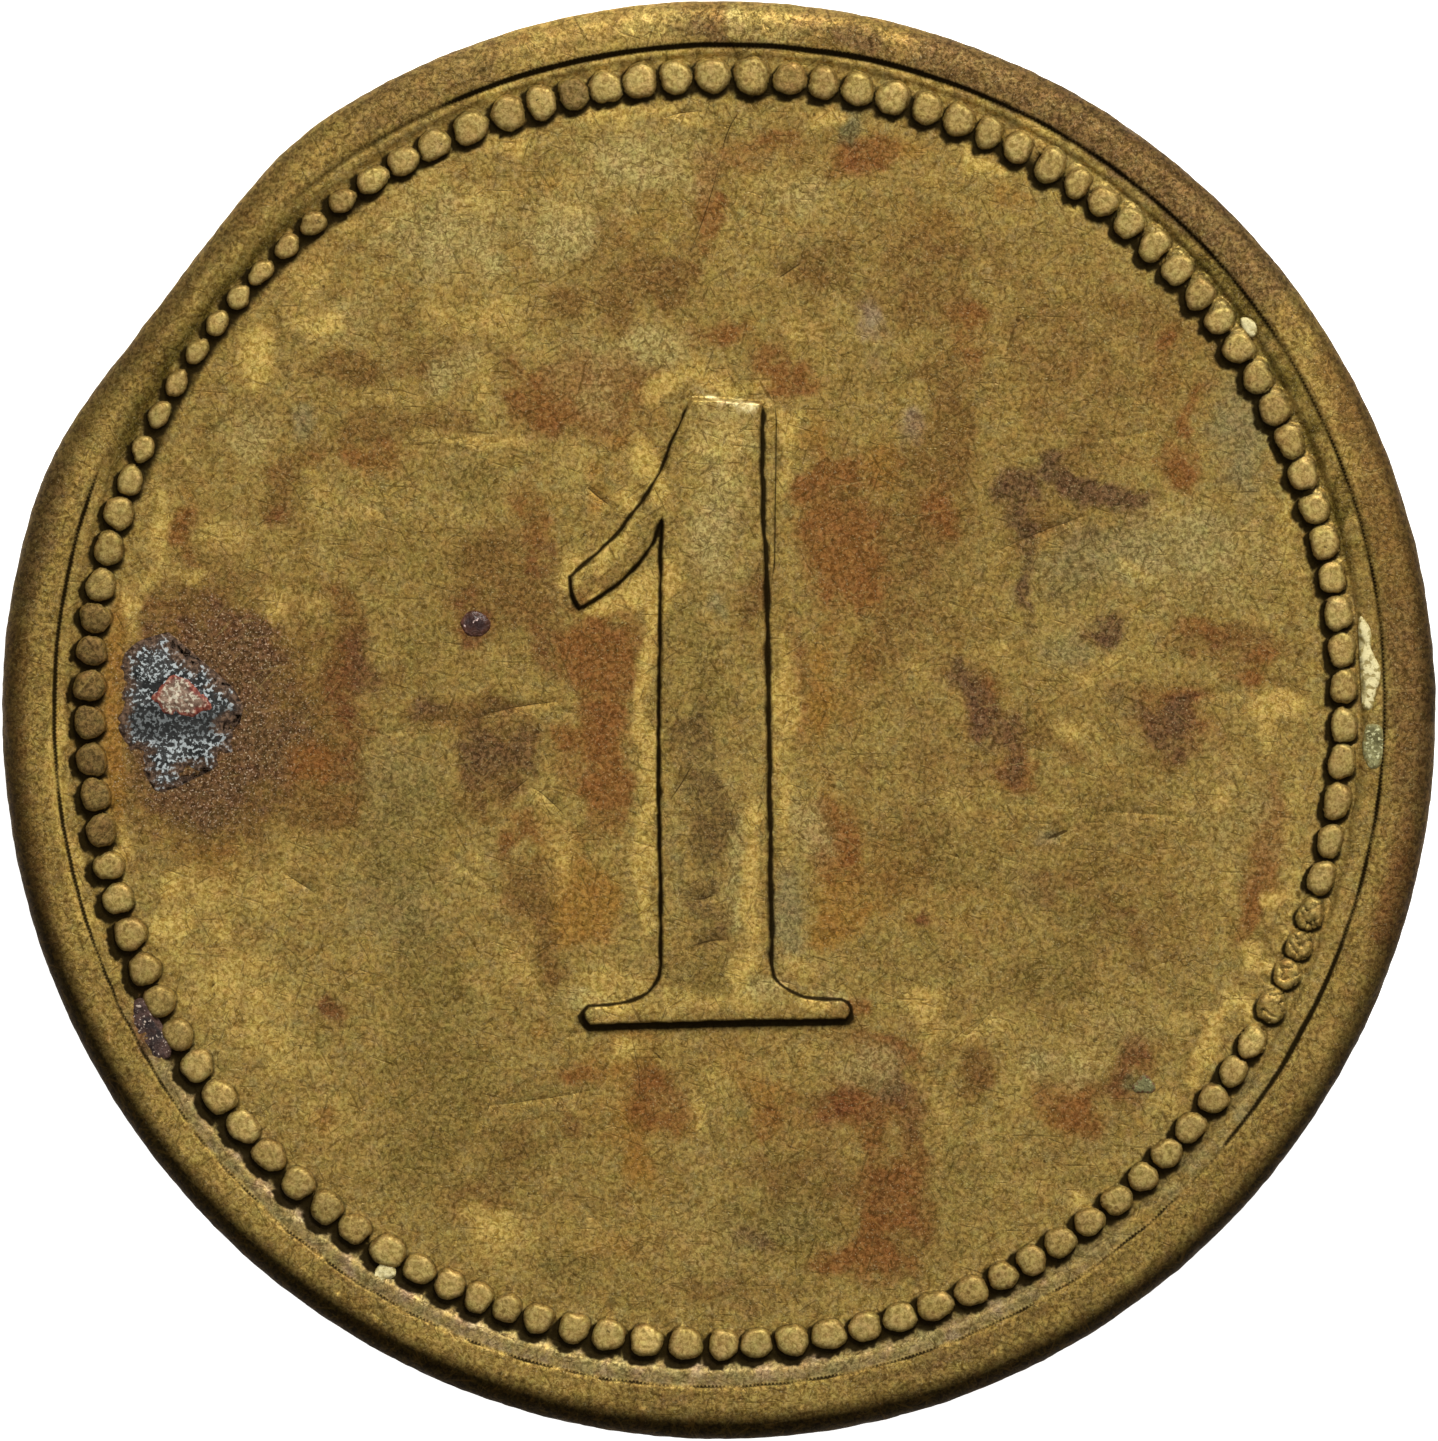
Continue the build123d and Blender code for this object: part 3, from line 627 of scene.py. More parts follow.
# ------------------------------------------------------------------ patina
# Patches of toning on the upper face: x, y, half length, half height (positions in the
# 1438 x 1441 frame), turn in degrees, layer, strength.
TONING = [
    # upper left
    (575, 395, 74, 44, 0, "red", 0.80), (545, 415, 40, 30, 0, "brown", 0.5), (640, 380, 24, 32, 0, "brown", 0.6),
    (563, 307, 28, 20, 0, "brown", 0.60), (617, 309, 27, 27, 0, "brown", 0.65), (668, 276, 40, 32, -8, "brown", 0.95),
    (650, 262, 24, 16, 0, "maroon", 0.25), (705, 198, 15, 54, -10, "red", 0.70), (690, 236, 18, 22, 0, "brown", 0.4),
    (715, 334, 34, 17, -14, "red", 0.75), (600, 240, 32, 34, 0, "brown", 0.50), (585, 280, 26, 30, 0, "brown", 0.3),
    (345, 367, 60, 16, 2, "brown", 0.75), (432, 360, 30, 14, 0, "brown", 0.75), (409, 312, 18, 32, 0, "brown", 0.40),
    (448, 340, 12, 14, 0, "brown", 0.6), (400, 425, 70, 20, -2, "brown", 0.75), (365, 457, 48, 15, -4, "red", 0.70),
    (330, 442, 24, 16, 0, "brown", 0.5), (250, 425, 26, 24, 0, "brown", 0.45), (285, 490, 24, 46, 16, "brown", 0.90),
    (271, 518, 14, 16, 0, "maroon", 0.4), (194, 488, 15, 14, 0, "orange", 0.6), (182, 532, 20, 24, 10, "red", 0.70),
    (530, 522, 26, 30, 0, "red", 0.60), (500, 558, 54, 42, 0, "brown", 0.65), (470, 560, 30, 24, 0, "olive", 0.5),
    (605, 655, 42, 58, 0, "red", 0.95), (600, 745, 40, 60, 0, "red", 0.95), (604, 806, 26, 26, 0, "red", 0.9),
    (590, 720, 16, 60, 0, "maroon", 0.22), (560, 640, 30, 30, 0, "brown", 0.5), (505, 615, 54, 32, 0, "brown", 0.75),
    (342, 655, 26, 62, 10, "brown", 0.85), (345, 690, 18, 34, 0, "maroon", 0.35), (385, 678, 20, 28, 0, "brown", 0.55),
    (428, 712, 20, 12, 0, "violet", 0.60), (472, 622, 22, 22, 0, "maroon", 0.85), (345, 595, 30, 20, 0, "brown", 0.35),
    (235, 580, 60, 22, 0, "brown", 0.5), (480, 480, 34, 30, 0, "olive", 0.85), (455, 470, 22, 20, 0, "grey", 0.35),
    (390, 555, 60, 44, 0, "olive", 0.35), (420, 640, 30, 40, 0, "olive", 0.5), (298, 425, 17, 17, 0, "grey", 0.75),
    (672, 128, 24, 7, -6, "grey", 0.9), (548, 188, 16, 12, 0, "orange", 0.5), (600, 470, 12, 14, 0, "orange", 0.5),
    (597, 490, 14, 30, 20, "orange", 0.5), (560, 150, 60, 26, -10, "olive", 0.2), (470, 230, 60, 30, -20, "grey", 0.22),
    (420, 260, 40, 36, 0, "grey", 0.25), (640, 150, 60, 26, -6, "orange", 0.15), (640, 210, 40, 40, 0, "orange", 0.22),
    # scab halo and its right side
    (312, 748, 36, 66, 4, "brown", 0.90), (308, 765, 24, 26, 0, "red", 0.75), (318, 805, 34, 22, 0, "brown", 0.85),
    (345, 716, 20, 24, 0, "brown", 0.6),
    # left of the stem, lower
    (500, 757, 46, 46, 0, "violet", 0.55), (505, 745, 40, 40, 0, "brown", 0.75), (470, 720, 24, 22, 0, "brown", 0.5),
    (527, 828, 26, 22, 0, "red", 0.60), (527, 905, 23, 50, 4, "brown", 0.85), (548, 960, 16, 44, -10, "brown", 0.65),
    (588, 908, 34, 42, 0, "orange", 0.95), (560, 930, 20, 30, 0, "orange", 0.5), (214, 870, 30, 20, 10, "orange", 0.75),
    (200, 845, 50, 12, 8, "orange", 0.5), (237, 925, 9, 8, 0, "brown", 0.9), (332, 1006, 10, 15, 0, "maroon", 0.95),
    (318, 1127, 15, 14, 0, "red", 0.80), (575, 1070, 22, 17, 0, "red", 0.85), (655, 1098, 34, 34, 0, "red", 0.75),
    (655, 1085, 28, 12, 0, "brown", 0.7), (630, 1110, 20, 20, 0, "orange", 0.5), (645, 1170, 22, 34, 0, "orange", 0.65),
    (577, 1122, 12, 12, 0, "brown", 0.6), (620, 1200, 14, 8, 0, "brown", 0.5), (640, 1240, 90, 24, 4, "orange", 0.35),
    # olive ground, lower left
    (405, 830, 52, 90, 0, "olive", 0.65), (395, 780, 40, 50, 0, "grey", 0.25), (425, 985, 48, 70, 8, "olive", 0.65),
    (420, 930, 40, 50, 0, "grey", 0.30), (450, 1080, 70, 60, 0, "olive", 0.65), (420, 1150, 46, 26, 0, "olive", 0.6),
    (520, 1160, 40, 26, 0, "olive", 0.75), (500, 1120, 60, 40, 0, "brown", 0.28), (572, 1266, 34, 20, 0, "olive", 0.9),
    (706, 1290, 36, 17, 0, "brown", 0.6), (560, 1060, 20, 50, 0, "olive", 0.2), (320, 1040, 40, 50, 0, "olive", 0.2),
    # stem of the figure
    (711, 812, 19, 60, 0, "umber", 0.60), (712, 780, 18, 30, 0, "grey", 0.4), (706, 924, 23, 38, 0, "umber", 0.60),
    (706, 930, 26, 44, 0, "moss", 0.35), (712, 545, 36, 130, 0, "khaki", 0.22), (604, 578, 30, 9, -42, "brown", 0.55),
    (400, 225, 60, 26, -35, "olive", 0.40), (270, 350, 60, 26, -50, "olive", 0.40), (195, 450, 50, 24, -65, "olive", 0.35),
    (880, 640, 105, 300, 0, "brown", 0.20), (1020, 560, 150, 220, 0, "brown", 0.10), (200, 890, 20, 12, 10, "brown", 0.6),
    (365, 670, 20, 26, 0, "maroon", 0.35), (480, 1210, 30, 16, 0, "brown", 0.5), (880, 1056, 30, 16, 0, "lilac", 0.4),
    (150, 1030, 16, 26, -20, "maroon", 0.5),
    (725, 930, 14, 34, 0, "brown", 0.6), (718, 604, 11, 14, 0, "grey", 0.9), (741, 531, 10, 8, 0, "brown", 0.5),
    (751, 600, 13, 34, 0, "brown", 0.85), (714, 690, 24, 50, 0, "olive", 0.75), (690, 670, 16, 34, 0, "olive", 0.5),
    (672, 720, 8, 40, 0, "brown", 0.6), (684, 600, 20, 40, 0, "olive", 0.35), (706, 980, 40, 12, 0, "olive", 0.6),
    (668, 700, 7, 120, 0, "olive", 0.55), (675, 870, 8, 70, 0, "grey", 0.4), (735, 860, 10, 40, 0, "grey", 0.3),
    # right of the figure, top
    (775, 142, 30, 16, 0, "red", 0.50), (856, 160, 46, 18, -6, "red", 0.80), (850, 162, 20, 12, 0, "maroon", 0.35),
    (905, 160, 30, 14, 0, "orange", 0.6), (853, 128, 13, 26, 0, "grey", 0.95), (853, 134, 9, 18, 0, "green", 0.8),
    (820, 262, 34, 26, 0, "olive", 0.80), (800, 240, 24, 20, 0, "grey", 0.3), (862, 313, 13, 20, 0, "lilac", 0.85),
    (880, 350, 26, 26, 0, "lilac", 0.25), (945, 250, 56, 22, 0, "brown", 0.55), (930, 225, 40, 24, 0, "orange", 0.45),
    (972, 325, 22, 30, 0, "red", 0.60), (948, 430, 30, 110, 2, "brown", 0.50), (966, 455, 13, 44, 0, "brown", 0.75),
    (938, 512, 20, 36, 0, "red", 0.70), (884, 465, 20, 30, 0, "orange", 0.90), (905, 460, 24, 40, 0, "brown", 0.35),
    (842, 540, 46, 90, -6, "red", 0.75), (846, 575, 27, 28, 0, "red", 0.95), (812, 478, 17, 22, 0, "red", 0.85),
    (820, 440, 22, 30, 0, "orange", 0.5), (785, 376, 30, 24, 0, "red", 0.92), (762, 352, 24, 12, 0, "red", 0.5),
    (912, 430, 16, 18, 0, "lilac", 0.70), (905, 560, 50, 60, 0, "brown", 0.50), (925, 520, 24, 34, 0, "brown", 0.5),
    (900, 640, 60, 34, 0, "brown", 0.40), (840, 640, 40, 30, 0, "orange", 0.40), (1090, 250, 60, 40, 30, "brown", 0.20),
    (1060, 340, 50, 60, 0, "brown", 0.32), (1090, 300, 40, 40, 0, "orange", 0.22), (1010, 300, 50, 60, 0, "brown", 0.25),
    (1020, 400, 30, 40, 0, "orange", 0.25), (1010, 200, 26, 14, 20, "orange", 0.4), (1166, 346, 17, 18, 0, "red", 0.85),
    (1160, 380, 20, 40, 0, "orange", 0.4), (1191, 416, 12, 42, 3, "red", 0.92), (1180, 470, 18, 28, -30, "red", 0.85),
    (1140, 490, 20, 14, -20, "violet", 0.5), (1052, 462, 20, 16, 0, "violet", 0.75), (1030, 487, 34, 18, -8, "violet", 0.90),
    (1080, 492, 30, 15, 6, "violet", 0.85), (1112, 498, 38, 15, 6, "violet", 0.75), (1074, 468, 24, 14, 0, "brown", 0.5),
    (1016, 525, 15, 22, -16, "violet", 0.75), (1028, 598, 11, 38, 0, "violet", 0.80), (1022, 558, 10, 20, 0, "violet", 0.5),
    (1108, 629, 27, 13, 4, "violet", 0.92), (1100, 632, 14, 9, 0, "maroon", 0.35), (1060, 450, 60, 60, 0, "brown", 0.18),
    (1110, 410, 60, 60, 0, "brown", 0.2), (1050, 420, 30, 30, 0, "red", 0.2), (980, 590, 30, 60, 0, "olive", 0.3),
    # khaki ground, right
    (1150, 545, 90, 44, 0, "grey", 0.60), (1080, 560, 44, 40, 0, "grey", 0.55), (1245, 430, 34, 70, 10, "grey", 0.65),
    (1230, 370, 24, 40, 0, "olive", 0.35), (1090, 590, 40, 26, 0, "olive", 0.45), (1240, 570, 60, 50, 0, "olive", 0.30),
    (1300, 570, 14, 20, 0, "olive", 0.6), (1190, 600, 60, 20, 0, "olive", 0.3), (1065, 650, 26, 24, 0, "grey", 0.6),
    # red and violet, right
    (1230, 636, 54, 18, 12, "brown", 0.85), (1200, 625, 26, 12, 0, "red", 0.6), (1254, 668, 20, 14, 0, "red", 0.95),
    (1180, 646, 30, 12, 0, "brown", 0.4), (1170, 718, 46, 28, 14, "red", 0.75), (1170, 725, 34, 26, 14, "violet", 0.65),
    (1195, 700, 20, 22, 0, "maroon", 0.35), (1125, 712, 20, 16, 0, "violet", 0.5), (1135, 700, 26, 14, 0, "brown", 0.5),
    (966, 678, 13, 26, -10, "violet", 0.85), (984, 700, 28, 44, -20, "red", 0.65), (990, 725, 28, 44, -22, "violet", 0.65),
    (1008, 765, 22, 34, -24, "red", 0.80), (1010, 770, 14, 26, -24, "violet", 0.45), (1035, 720, 16, 20, 0, "brown", 0.4),
    (1266, 850, 17, 62, 8, "red", 0.80), (1270, 790, 14, 30, 0, "brown", 0.5), (1243, 915, 14, 34, 12, "red", 0.75),
    (1128, 918, 9, 9, 0, "maroon", 0.95), (918, 927, 11, 9, 0, "maroon", 0.7), (1156, 913, 8, 8, 0, "olive", 0.9),
    (1140, 940, 24, 14, 30, "brown", 0.4), (1085, 920, 50, 24, 0, "olive", 0.6), (1045, 975, 50, 24, 0, "olive", 0.90),
    (1030, 885, 22, 22, 0, "grey", 0.5), (1100, 830, 50, 50, 0, "olive", 0.40), (1150, 800, 40, 50, 0, "olive", 0.25),
    (1055, 833, 20, 9, 0, "grey", 0.8), (900, 860, 60, 50, 0, "brown", 0.40), (960, 860, 60, 50, 0, "olive", 0.5),
    (905, 845, 40, 20, 0, "olive", 0.5), (1000, 830, 40, 40, 0, "orange", 0.2), (920, 960, 60, 30, 0, "olive", 0.4),
    (940, 760, 40, 60, 0, "brown", 0.25), (880, 740, 40, 40, 0, "olive", 0.25), (1100, 770, 40, 40, 0, "brown", 0.22),
    (1180, 860, 50, 50, 0, "orange", 0.25), (870, 880, 60, 50, 0, "orange", 0.45), (960, 920, 50, 40, 0, "orange", 0.3),
    (815, 700, 20, 60, 0, "orange", 0.85), (800, 660, 14, 30, 0, "red", 0.5), (850, 690, 34, 34, 0, "orange", 0.35),
    (832, 838, 26, 52, 0, "red", 0.75), (825, 800, 20, 24, 0, "orange", 0.5), (832, 927, 20, 20, 0, "orange", 1.0),
    (788, 915, 17, 46, 0, "grey", 0.95), (786, 880, 12, 30, 0, "green", 0.35), (840, 900, 24, 40, 0, "orange", 0.5),
    # below the figure
    (885, 1056, 32, 24, 10, "red", 0.85), (888, 1050, 24, 20, 0, "maroon", 0.45), (865, 1040, 24, 14, 0, "red", 0.5),
    (868, 1108, 56, 34, 4, "red", 0.70), (850, 1100, 34, 26, 0, "maroon", 0.40), (884, 1086, 22, 16, 0, "violet", 0.60),
    (905, 1115, 26, 24, 0, "violet", 0.35), (978, 1070, 22, 24, 20, "brown", 0.90), (985, 1080, 14, 16, 0, "maroon", 0.25),
    (1065, 1108, 36, 26, 16, "red", 0.90), (1055, 1112, 24, 18, 0, "orange", 0.5), (1094, 1090, 20, 14, 0, "brown", 0.6),
    (1134, 1050, 20, 14, 0, "maroon", 0.95), (1126, 1084, 16, 24, 10, "maroon", 0.90), (1144, 1080, 11, 12, 0, "green", 0.95),
    (778, 1118, 26, 28, 0, "red", 0.50), (770, 1110, 30, 34, 0, "orange", 0.5), (812, 1100, 16, 12, 0, "brown", 0.6),
    (893, 1205, 42, 62, 2, "brown", 0.95), (893, 1200, 34, 54, 0, "red", 0.80), (885, 1190, 16, 30, 0, "umber", 0.30),
    (860, 1258, 48, 24, 0, "red", 0.75), (885, 1262, 50, 22, 0, "brown", 0.6), (800, 1215, 48, 54, 0, "olive", 0.95),
    (790, 1212, 22, 18, 0, "grey", 0.65), (752, 1248, 22, 12, 0, "violet", 0.6), (770, 1180, 40, 24, 0, "brown", 0.45),
    (740, 1230, 40, 40, 0, "olive", 0.5), (830, 1170, 30, 24, 0, "brown", 0.5), (960, 1150, 24, 34, 0, "olive", 0.35),
    (1073, 1186, 20, 12, 0, "olive", 0.9), (1050, 1150, 26, 20, 0, "brown", 0.3), (1090, 1140, 22, 20, 0, "grey", 0.3),
    (950, 1210, 30, 40, 0, "olive", 0.35), (960, 1255, 30, 12, 0, "olive", 0.6), (760, 1060, 60, 20, 0, "orange", 0.40),
    (735, 1090, 20, 40, 0, "olive", 0.35), (860, 1010, 12, 16, 0, "red", 0.6), (760, 1290, 50, 18, 0, "brown", 0.4),
    (1170, 930, 30, 30, 0, "orange", 0.2), (1180, 990, 40, 20, 0, "olive", 0.3), (1090, 1020, 60, 24, 0, "orange", 0.2),
    # rubbed bright, and a painted highlight along the top edge of the figure
    (657, 595, 18, 36, 20, "yellow", 1.00), (620, 545, 40, 11, -52, "yellow", 0.90), (575, 573, 15, 26, 30, "yellow", 0.9),
    (630, 600, 26, 10, -40, "yellow", 0.55), (648, 720, 10, 120, 0, "yellow", 1.00), (648, 870, 9, 90, 0, "yellow", 0.85),
    (645, 470, 12, 44, -26, "yellow", 0.85), (625, 505, 16, 16, 0, "yellow", 0.6), (675, 378, 34, 16, -20, "yellow", 0.90),
    (722, 385, 44, 10, 0, "yellow", 0.95), (665, 410, 14, 20, -20, "orange", 0.5), (781, 470, 9, 60, 0, "yellow", 0.60),
    (788, 430, 12, 18, 0, "yellow", 0.70), (783, 700, 10, 70, 0, "yellow", 0.65), (784, 810, 9, 60, 0, "yellow", 0.7),
    (800, 965, 20, 18, 0, "yellow", 0.55), (612, 985, 36, 16, 0, "yellow", 0.60), (629, 1054, 30, 10, 0, "yellow", 0.75),
    (605, 960, 30, 20, -20, "yellow", 0.3), (752, 880, 12, 90, 0, "yellow", 0.90), (748, 970, 20, 22, 0, "yellow", 0.8),
    (700, 1000, 110, 9, 0, "yellow", 0.5), (620, 1008, 34, 7, 0, "yellow", 0.9), (820, 1006, 26, 7, 0, "yellow", 0.9),
    # the pale strip along the top edge of the figure is a painted highlight
    (728, 403, 34, 5, 0, "pale", 0.40), (752, 404, 12, 6, 0, "pale", 0.65), (728, 440, 34, 30, 0, "yellow", 0.45),
    (720, 520, 34, 60, 0, "grey", 0.35), (690, 470, 14, 40, -10, "yellow", 0.3), (740, 480, 14, 40, 0, "yellow", 0.35),
    (255, 355, 22, 34, 14, "yellow", 0.80), (320, 318, 32, 15, -4, "yellow", 0.85), (300, 290, 30, 20, -30, "yellow", 0.4),
    (490, 322, 60, 24, 0, "yellow", 0.50), (440, 300, 20, 24, 0, "yellow", 0.3), (480, 385, 14, 24, 0, "yellow", 0.5),
    (370, 400, 40, 8, 0, "yellow", 0.5), (450, 435, 40, 8, 4, "yellow", 0.5), (500, 440, 40, 10, 0, "yellow", 0.5),
    (190, 450, 12, 24, 0, "yellow", 0.4), (153, 540, 11, 70, 4, "yellow", 0.75), (225, 540, 24, 20, 0, "yellow", 0.45),
    (190, 575, 30, 8, 0, "yellow", 0.6), (130, 610, 9, 30, 10, "yellow", 0.7), (400, 200, 60, 24, -34, "yellow", 0.45),
    (330, 250, 50, 16, -44, "yellow", 0.4), (510, 142, 26, 16, 0, "yellow", 0.6), (620, 118, 70, 9, -8, "yellow", 0.65),
    (700, 115, 24, 9, 0, "yellow", 0.6), (490, 200, 40, 24, 0, "yellow", 0.35), (560, 215, 34, 14, 0, "yellow", 0.4),
    (560, 180, 30, 12, 0, "yellow", 0.3), (820, 118, 34, 10, 6, "yellow", 0.80), (790, 165, 34, 10, 0, "yellow", 0.3),
    (760, 190, 30, 20, 0, "yellow", 0.25), (980, 162, 26, 12, 26, "yellow", 0.85), (940, 185, 34, 14, 10, "yellow", 0.35),
    (1068, 202, 20, 9, 40, "yellow", 0.8), (1110, 230, 30, 12, 46, "yellow", 0.3), (800, 330, 24, 20, 0, "yellow", 0.45),
    (1000, 350, 14, 50, 4, "yellow", 0.3), (1080, 380, 14, 34, 20, "yellow", 0.3), (1118, 360, 12, 40, 0, "yellow", 0.3),
    (1120, 520, 14, 10, 0, "yellow", 0.2), (1165, 515, 24, 14, 0, "yellow", 0.45), (1290, 540, 14, 60, -8, "yellow", 0.4),
    (1240, 545, 30, 10, 0, "yellow", 0.3), (1140, 575, 24, 10, 40, "yellow", 0.4), (1275, 706, 28, 22, 0, "yellow", 0.80),
    (1265, 740, 14, 40, 0, "yellow", 0.6), (1090, 680, 26, 14, 10, "yellow", 0.4), (1130, 665, 30, 12, 10, "yellow", 0.55),
    (1000, 655, 22, 14, 0, "yellow", 0.5), (1080, 728, 24, 12, 0, "yellow", 0.5), (950, 790, 24, 24, 0, "yellow", 0.4),
    (915, 675, 18, 14, 0, "yellow", 0.45), (1045, 810, 30, 8, 0, "yellow", 0.55), (960, 690, 8, 30, 0, "yellow", 0.3),
    (1225, 800, 14, 24, 0, "yellow", 0.5), (1290, 810, 8, 60, 0, "yellow", 0.4), (1290, 900, 8, 40, 10, "yellow", 0.4),
    (1225, 880, 12, 40, 10, "yellow", 0.35), (1275, 968, 22, 14, 0, "yellow", 0.85), (1240, 1008, 22, 12, 30, "yellow", 0.9),
    (1210, 1046, 16, 14, 30, "yellow", 1.0), (1180, 1020, 30, 14, 0, "yellow", 0.45), (1195, 1075, 14, 12, 30, "yellow", 0.6),
    (1165, 1100, 18, 14, 30, "yellow", 0.5), (925, 1000, 24, 20, 40, "yellow", 0.6), (960, 1030, 40, 16, 0, "yellow", 0.45),
    (1000, 1020, 30, 20, 0, "yellow", 0.3), (930, 1050, 14, 20, 0, "yellow", 0.4), (1080, 1050, 40, 20, 20, "yellow", 0.3),
    (1020, 1090, 20, 30, 0, "yellow", 0.35), (1075, 1208, 14, 12, 0, "yellow", 0.95), (1040, 1180, 24, 20, 0, "yellow", 0.35),
    (940, 1110, 24, 24, 0, "yellow", 0.35), (720, 1080, 20, 24, 0, "yellow", 0.4), (800, 1050, 24, 12, 0, "yellow", 0.4),
    (690, 1110, 14, 34, 0, "yellow", 0.4), (165, 882, 17, 14, 0, "yellow", 0.95), (172, 928, 24, 14, 0, "yellow", 1.00),
    (190, 900, 40, 40, 20, "yellow", 0.5), (230, 980, 70, 40, 20, "yellow", 0.55), (250, 900, 40, 40, 0, "yellow", 0.4),
    (290, 850, 30, 30, 0, "yellow", 0.35), (120, 850, 8, 30, 0, "yellow", 0.6), (108, 750, 7, 60, 0, "orange", 0.9),
    (280, 1050, 60, 34, 30, "yellow", 0.5), (330, 1120, 50, 40, 30, "yellow", 0.35), (370, 1000, 30, 30, 0, "yellow", 0.2),
    (515, 960, 24, 44, 0, "yellow", 0.40), (480, 880, 10, 40, 0, "yellow", 0.4), (560, 860, 16, 40, 0, "yellow", 0.45),
    (640, 860, 8, 60, 0, "yellow", 0.4), (605, 850, 24, 14, 0, "yellow", 0.35), (545, 800, 10, 30, 0, "yellow", 0.4),
    (505, 1235, 40, 30, 10, "yellow", 0.60), (480, 1220, 30, 20, 10, "yellow", 0.4), (600, 1230, 50, 24, 0, "yellow", 0.25),
    (600, 1020, 20, 9, 0, "yellow", 0.3), (540, 1030, 14, 14, 0, "orange", 0.4), (690, 1240, 40, 20, 0, "yellow", 0.2),
    (355, 640, 8, 40, 0, "yellow", 0.0), (320, 600, 20, 20, 0, "yellow", 0.3), (315, 660, 10, 40, 10, "yellow", 0.3),
    (330, 515, 24, 20, 0, "yellow", 0.3), (360, 500, 40, 14, 0, "yellow", 0.3), (440, 540, 20, 14, 0, "yellow", 0.25),
    (575, 460, 24, 24, 0, "yellow", 0.4), (615, 440, 14, 14, 0, "orange", 0.6),
    # second look: where the first left the ground too bare or too even
    (628, 548, 46, 14, -42, "olive", 0.80), (636, 582, 34, 11, -40, "yellow", 0.95), (600, 608, 24, 9, -35, "yellow", 0.7),
    (606, 568, 20, 10, -40, "brown", 0.6),
    (662, 470, 11, 60, 27, "olive", 0.55), (668, 580, 9, 60, 0, "olive", 0.6), (700, 742, 32, 18, 0, "umber", 0.45), (694, 760, 22, 60, 0, "umber", 0.40),
    (705, 850, 26, 46, 0, "umber", 0.45), (690, 620, 16, 60, 0, "olive", 0.35), (748, 620, 8, 110, 0, "violet", 0.30),
    (312, 266, 54, 12, -43, "brown", 0.70), (252, 345, 44, 12, -56, "brown", 0.6),
    (196, 440, 40, 10, -66, "brown", 0.5), (392, 212, 40, 10, -32, "brown", 0.6), (150, 520, 10, 30, 10, "olive", 0.6),
    (345, 700, 22, 110, 0, "maroon", 0.42), (338, 800, 28, 34, 0, "brown", 0.90), (352, 640, 20, 60, 0, "brown", 0.80),
    (368, 668, 20, 42, 0, "violet", 0.45), (212, 645, 18, 14, 30, "red", 0.80), (150, 612, 40, 14, -10, "maroon", 0.40),
    (160, 800, 26, 14, 10, "maroon", 0.45), (205, 888, 16, 20, 0, "brown", 0.85), (225, 945, 22, 26, 0, "brown", 0.45),
    (150, 1010, 14, 40, -20, "maroon", 0.55), (160, 1040, 14, 24, 0, "violet", 0.60), (125, 930, 10, 40, -12, "brown", 0.5),
    (440, 720, 44, 18, -10, "brown", 0.75), (495, 790, 24, 24, 0, "brown", 0.85), (480, 760, 40, 60, 20, "brown", 0.35),
    (545, 556, 18, 20, 0, "maroon", 0.50), (545, 645, 18, 34, 0, "maroon", 0.50), (560, 600, 30, 50, 0, "brown", 0.45),
    (515, 860, 16, 24, 0, "brown", 0.5), (518, 920, 12, 60, -12, "brown", 0.5), (565, 880, 34, 60, 0, "orange", 0.5),
    (480, 1205, 40, 24, 10, "brown", 0.70), (420, 1180, 40, 20, 0, "olive", 0.6), (520, 1170, 40, 18, 0, "brown", 0.5),
    (620, 1060, 60, 30, 0, "orange", 0.5), (640, 1120, 50, 30, 0, "orange", 0.5), (740, 1140, 18, 12, 0, "brown", 0.6),
    (820, 270, 60, 24, 0, "brown", 0.55), (930, 300, 70, 44, 0, "brown", 0.50), (800, 330, 30, 24, 0, "brown", 0.5),
    (900, 220, 80, 40, 0, "brown", 0.30), (960, 380, 40, 30, 0, "brown", 0.35), (740, 160, 40, 24, 0, "red", 0.50),
    (690, 125, 40, 10, 0, "olive", 0.7), (510, 360, 14, 24, 0, "brown", 0.5), (640, 455, 14, 16, 0, "red", 0.5),
    (1150, 360, 90, 70, 0, "brown", 0.35), (1160, 320, 50, 30, 0, "brown", 0.35), (1050, 370, 50, 50, 0, "brown", 0.25),
    (1030, 530, 24, 26, 0, "brown", 0.5), (950, 545, 22, 18, 0, "brown", 0.7), (1080, 510, 90, 40, 0, "brown", 0.25),
    (1220, 650, 26, 24, 0, "maroon", 0.40), (1280, 690, 24, 16, 0, "brown", 0.6), (1160, 760, 24, 18, 0, "brown", 0.6),
    (1050, 740, 40, 20, 0, "brown", 0.45), (985, 770, 24, 18, 0, "maroon", 0.3), (790, 690, 12, 60, 0, "red", 0.5),
    (1045, 885, 36, 22, 0, "brown", 0.50), (1120, 860, 90, 60, 0, "brown", 0.30), (1150, 940, 90, 50, 0, "brown", 0.30),
    (940, 1040, 50, 44, 0, "brown", 0.40), (1020, 985, 60, 24, 0, "brown", 0.30), (850, 1030, 24, 30, 0, "brown", 0.5),
    (830, 1130, 30, 22, 0, "maroon", 0.35), (1130, 1090, 16, 14, 0, "maroon", 0.45), (840, 1215, 20, 16, 0, "brown", 0.5),
    (440, 235, 70, 50, 0, "khaki", 0.60), (560, 235, 40, 34, 0, "khaki", 0.75), (640, 165, 70, 44, 0, "khaki", 0.60),
    (590, 380, 50, 50, 0, "khaki", 0.35), (350, 320, 60, 30, 0, "khaki", 0.35), (655, 345, 30, 26, 0, "khaki", 0.6),
    (450, 370, 30, 26, 0, "khaki", 0.5), (250, 435, 30, 26, 0, "khaki", 0.45), (270, 620, 34, 44, 20, "yellow", 0.5),
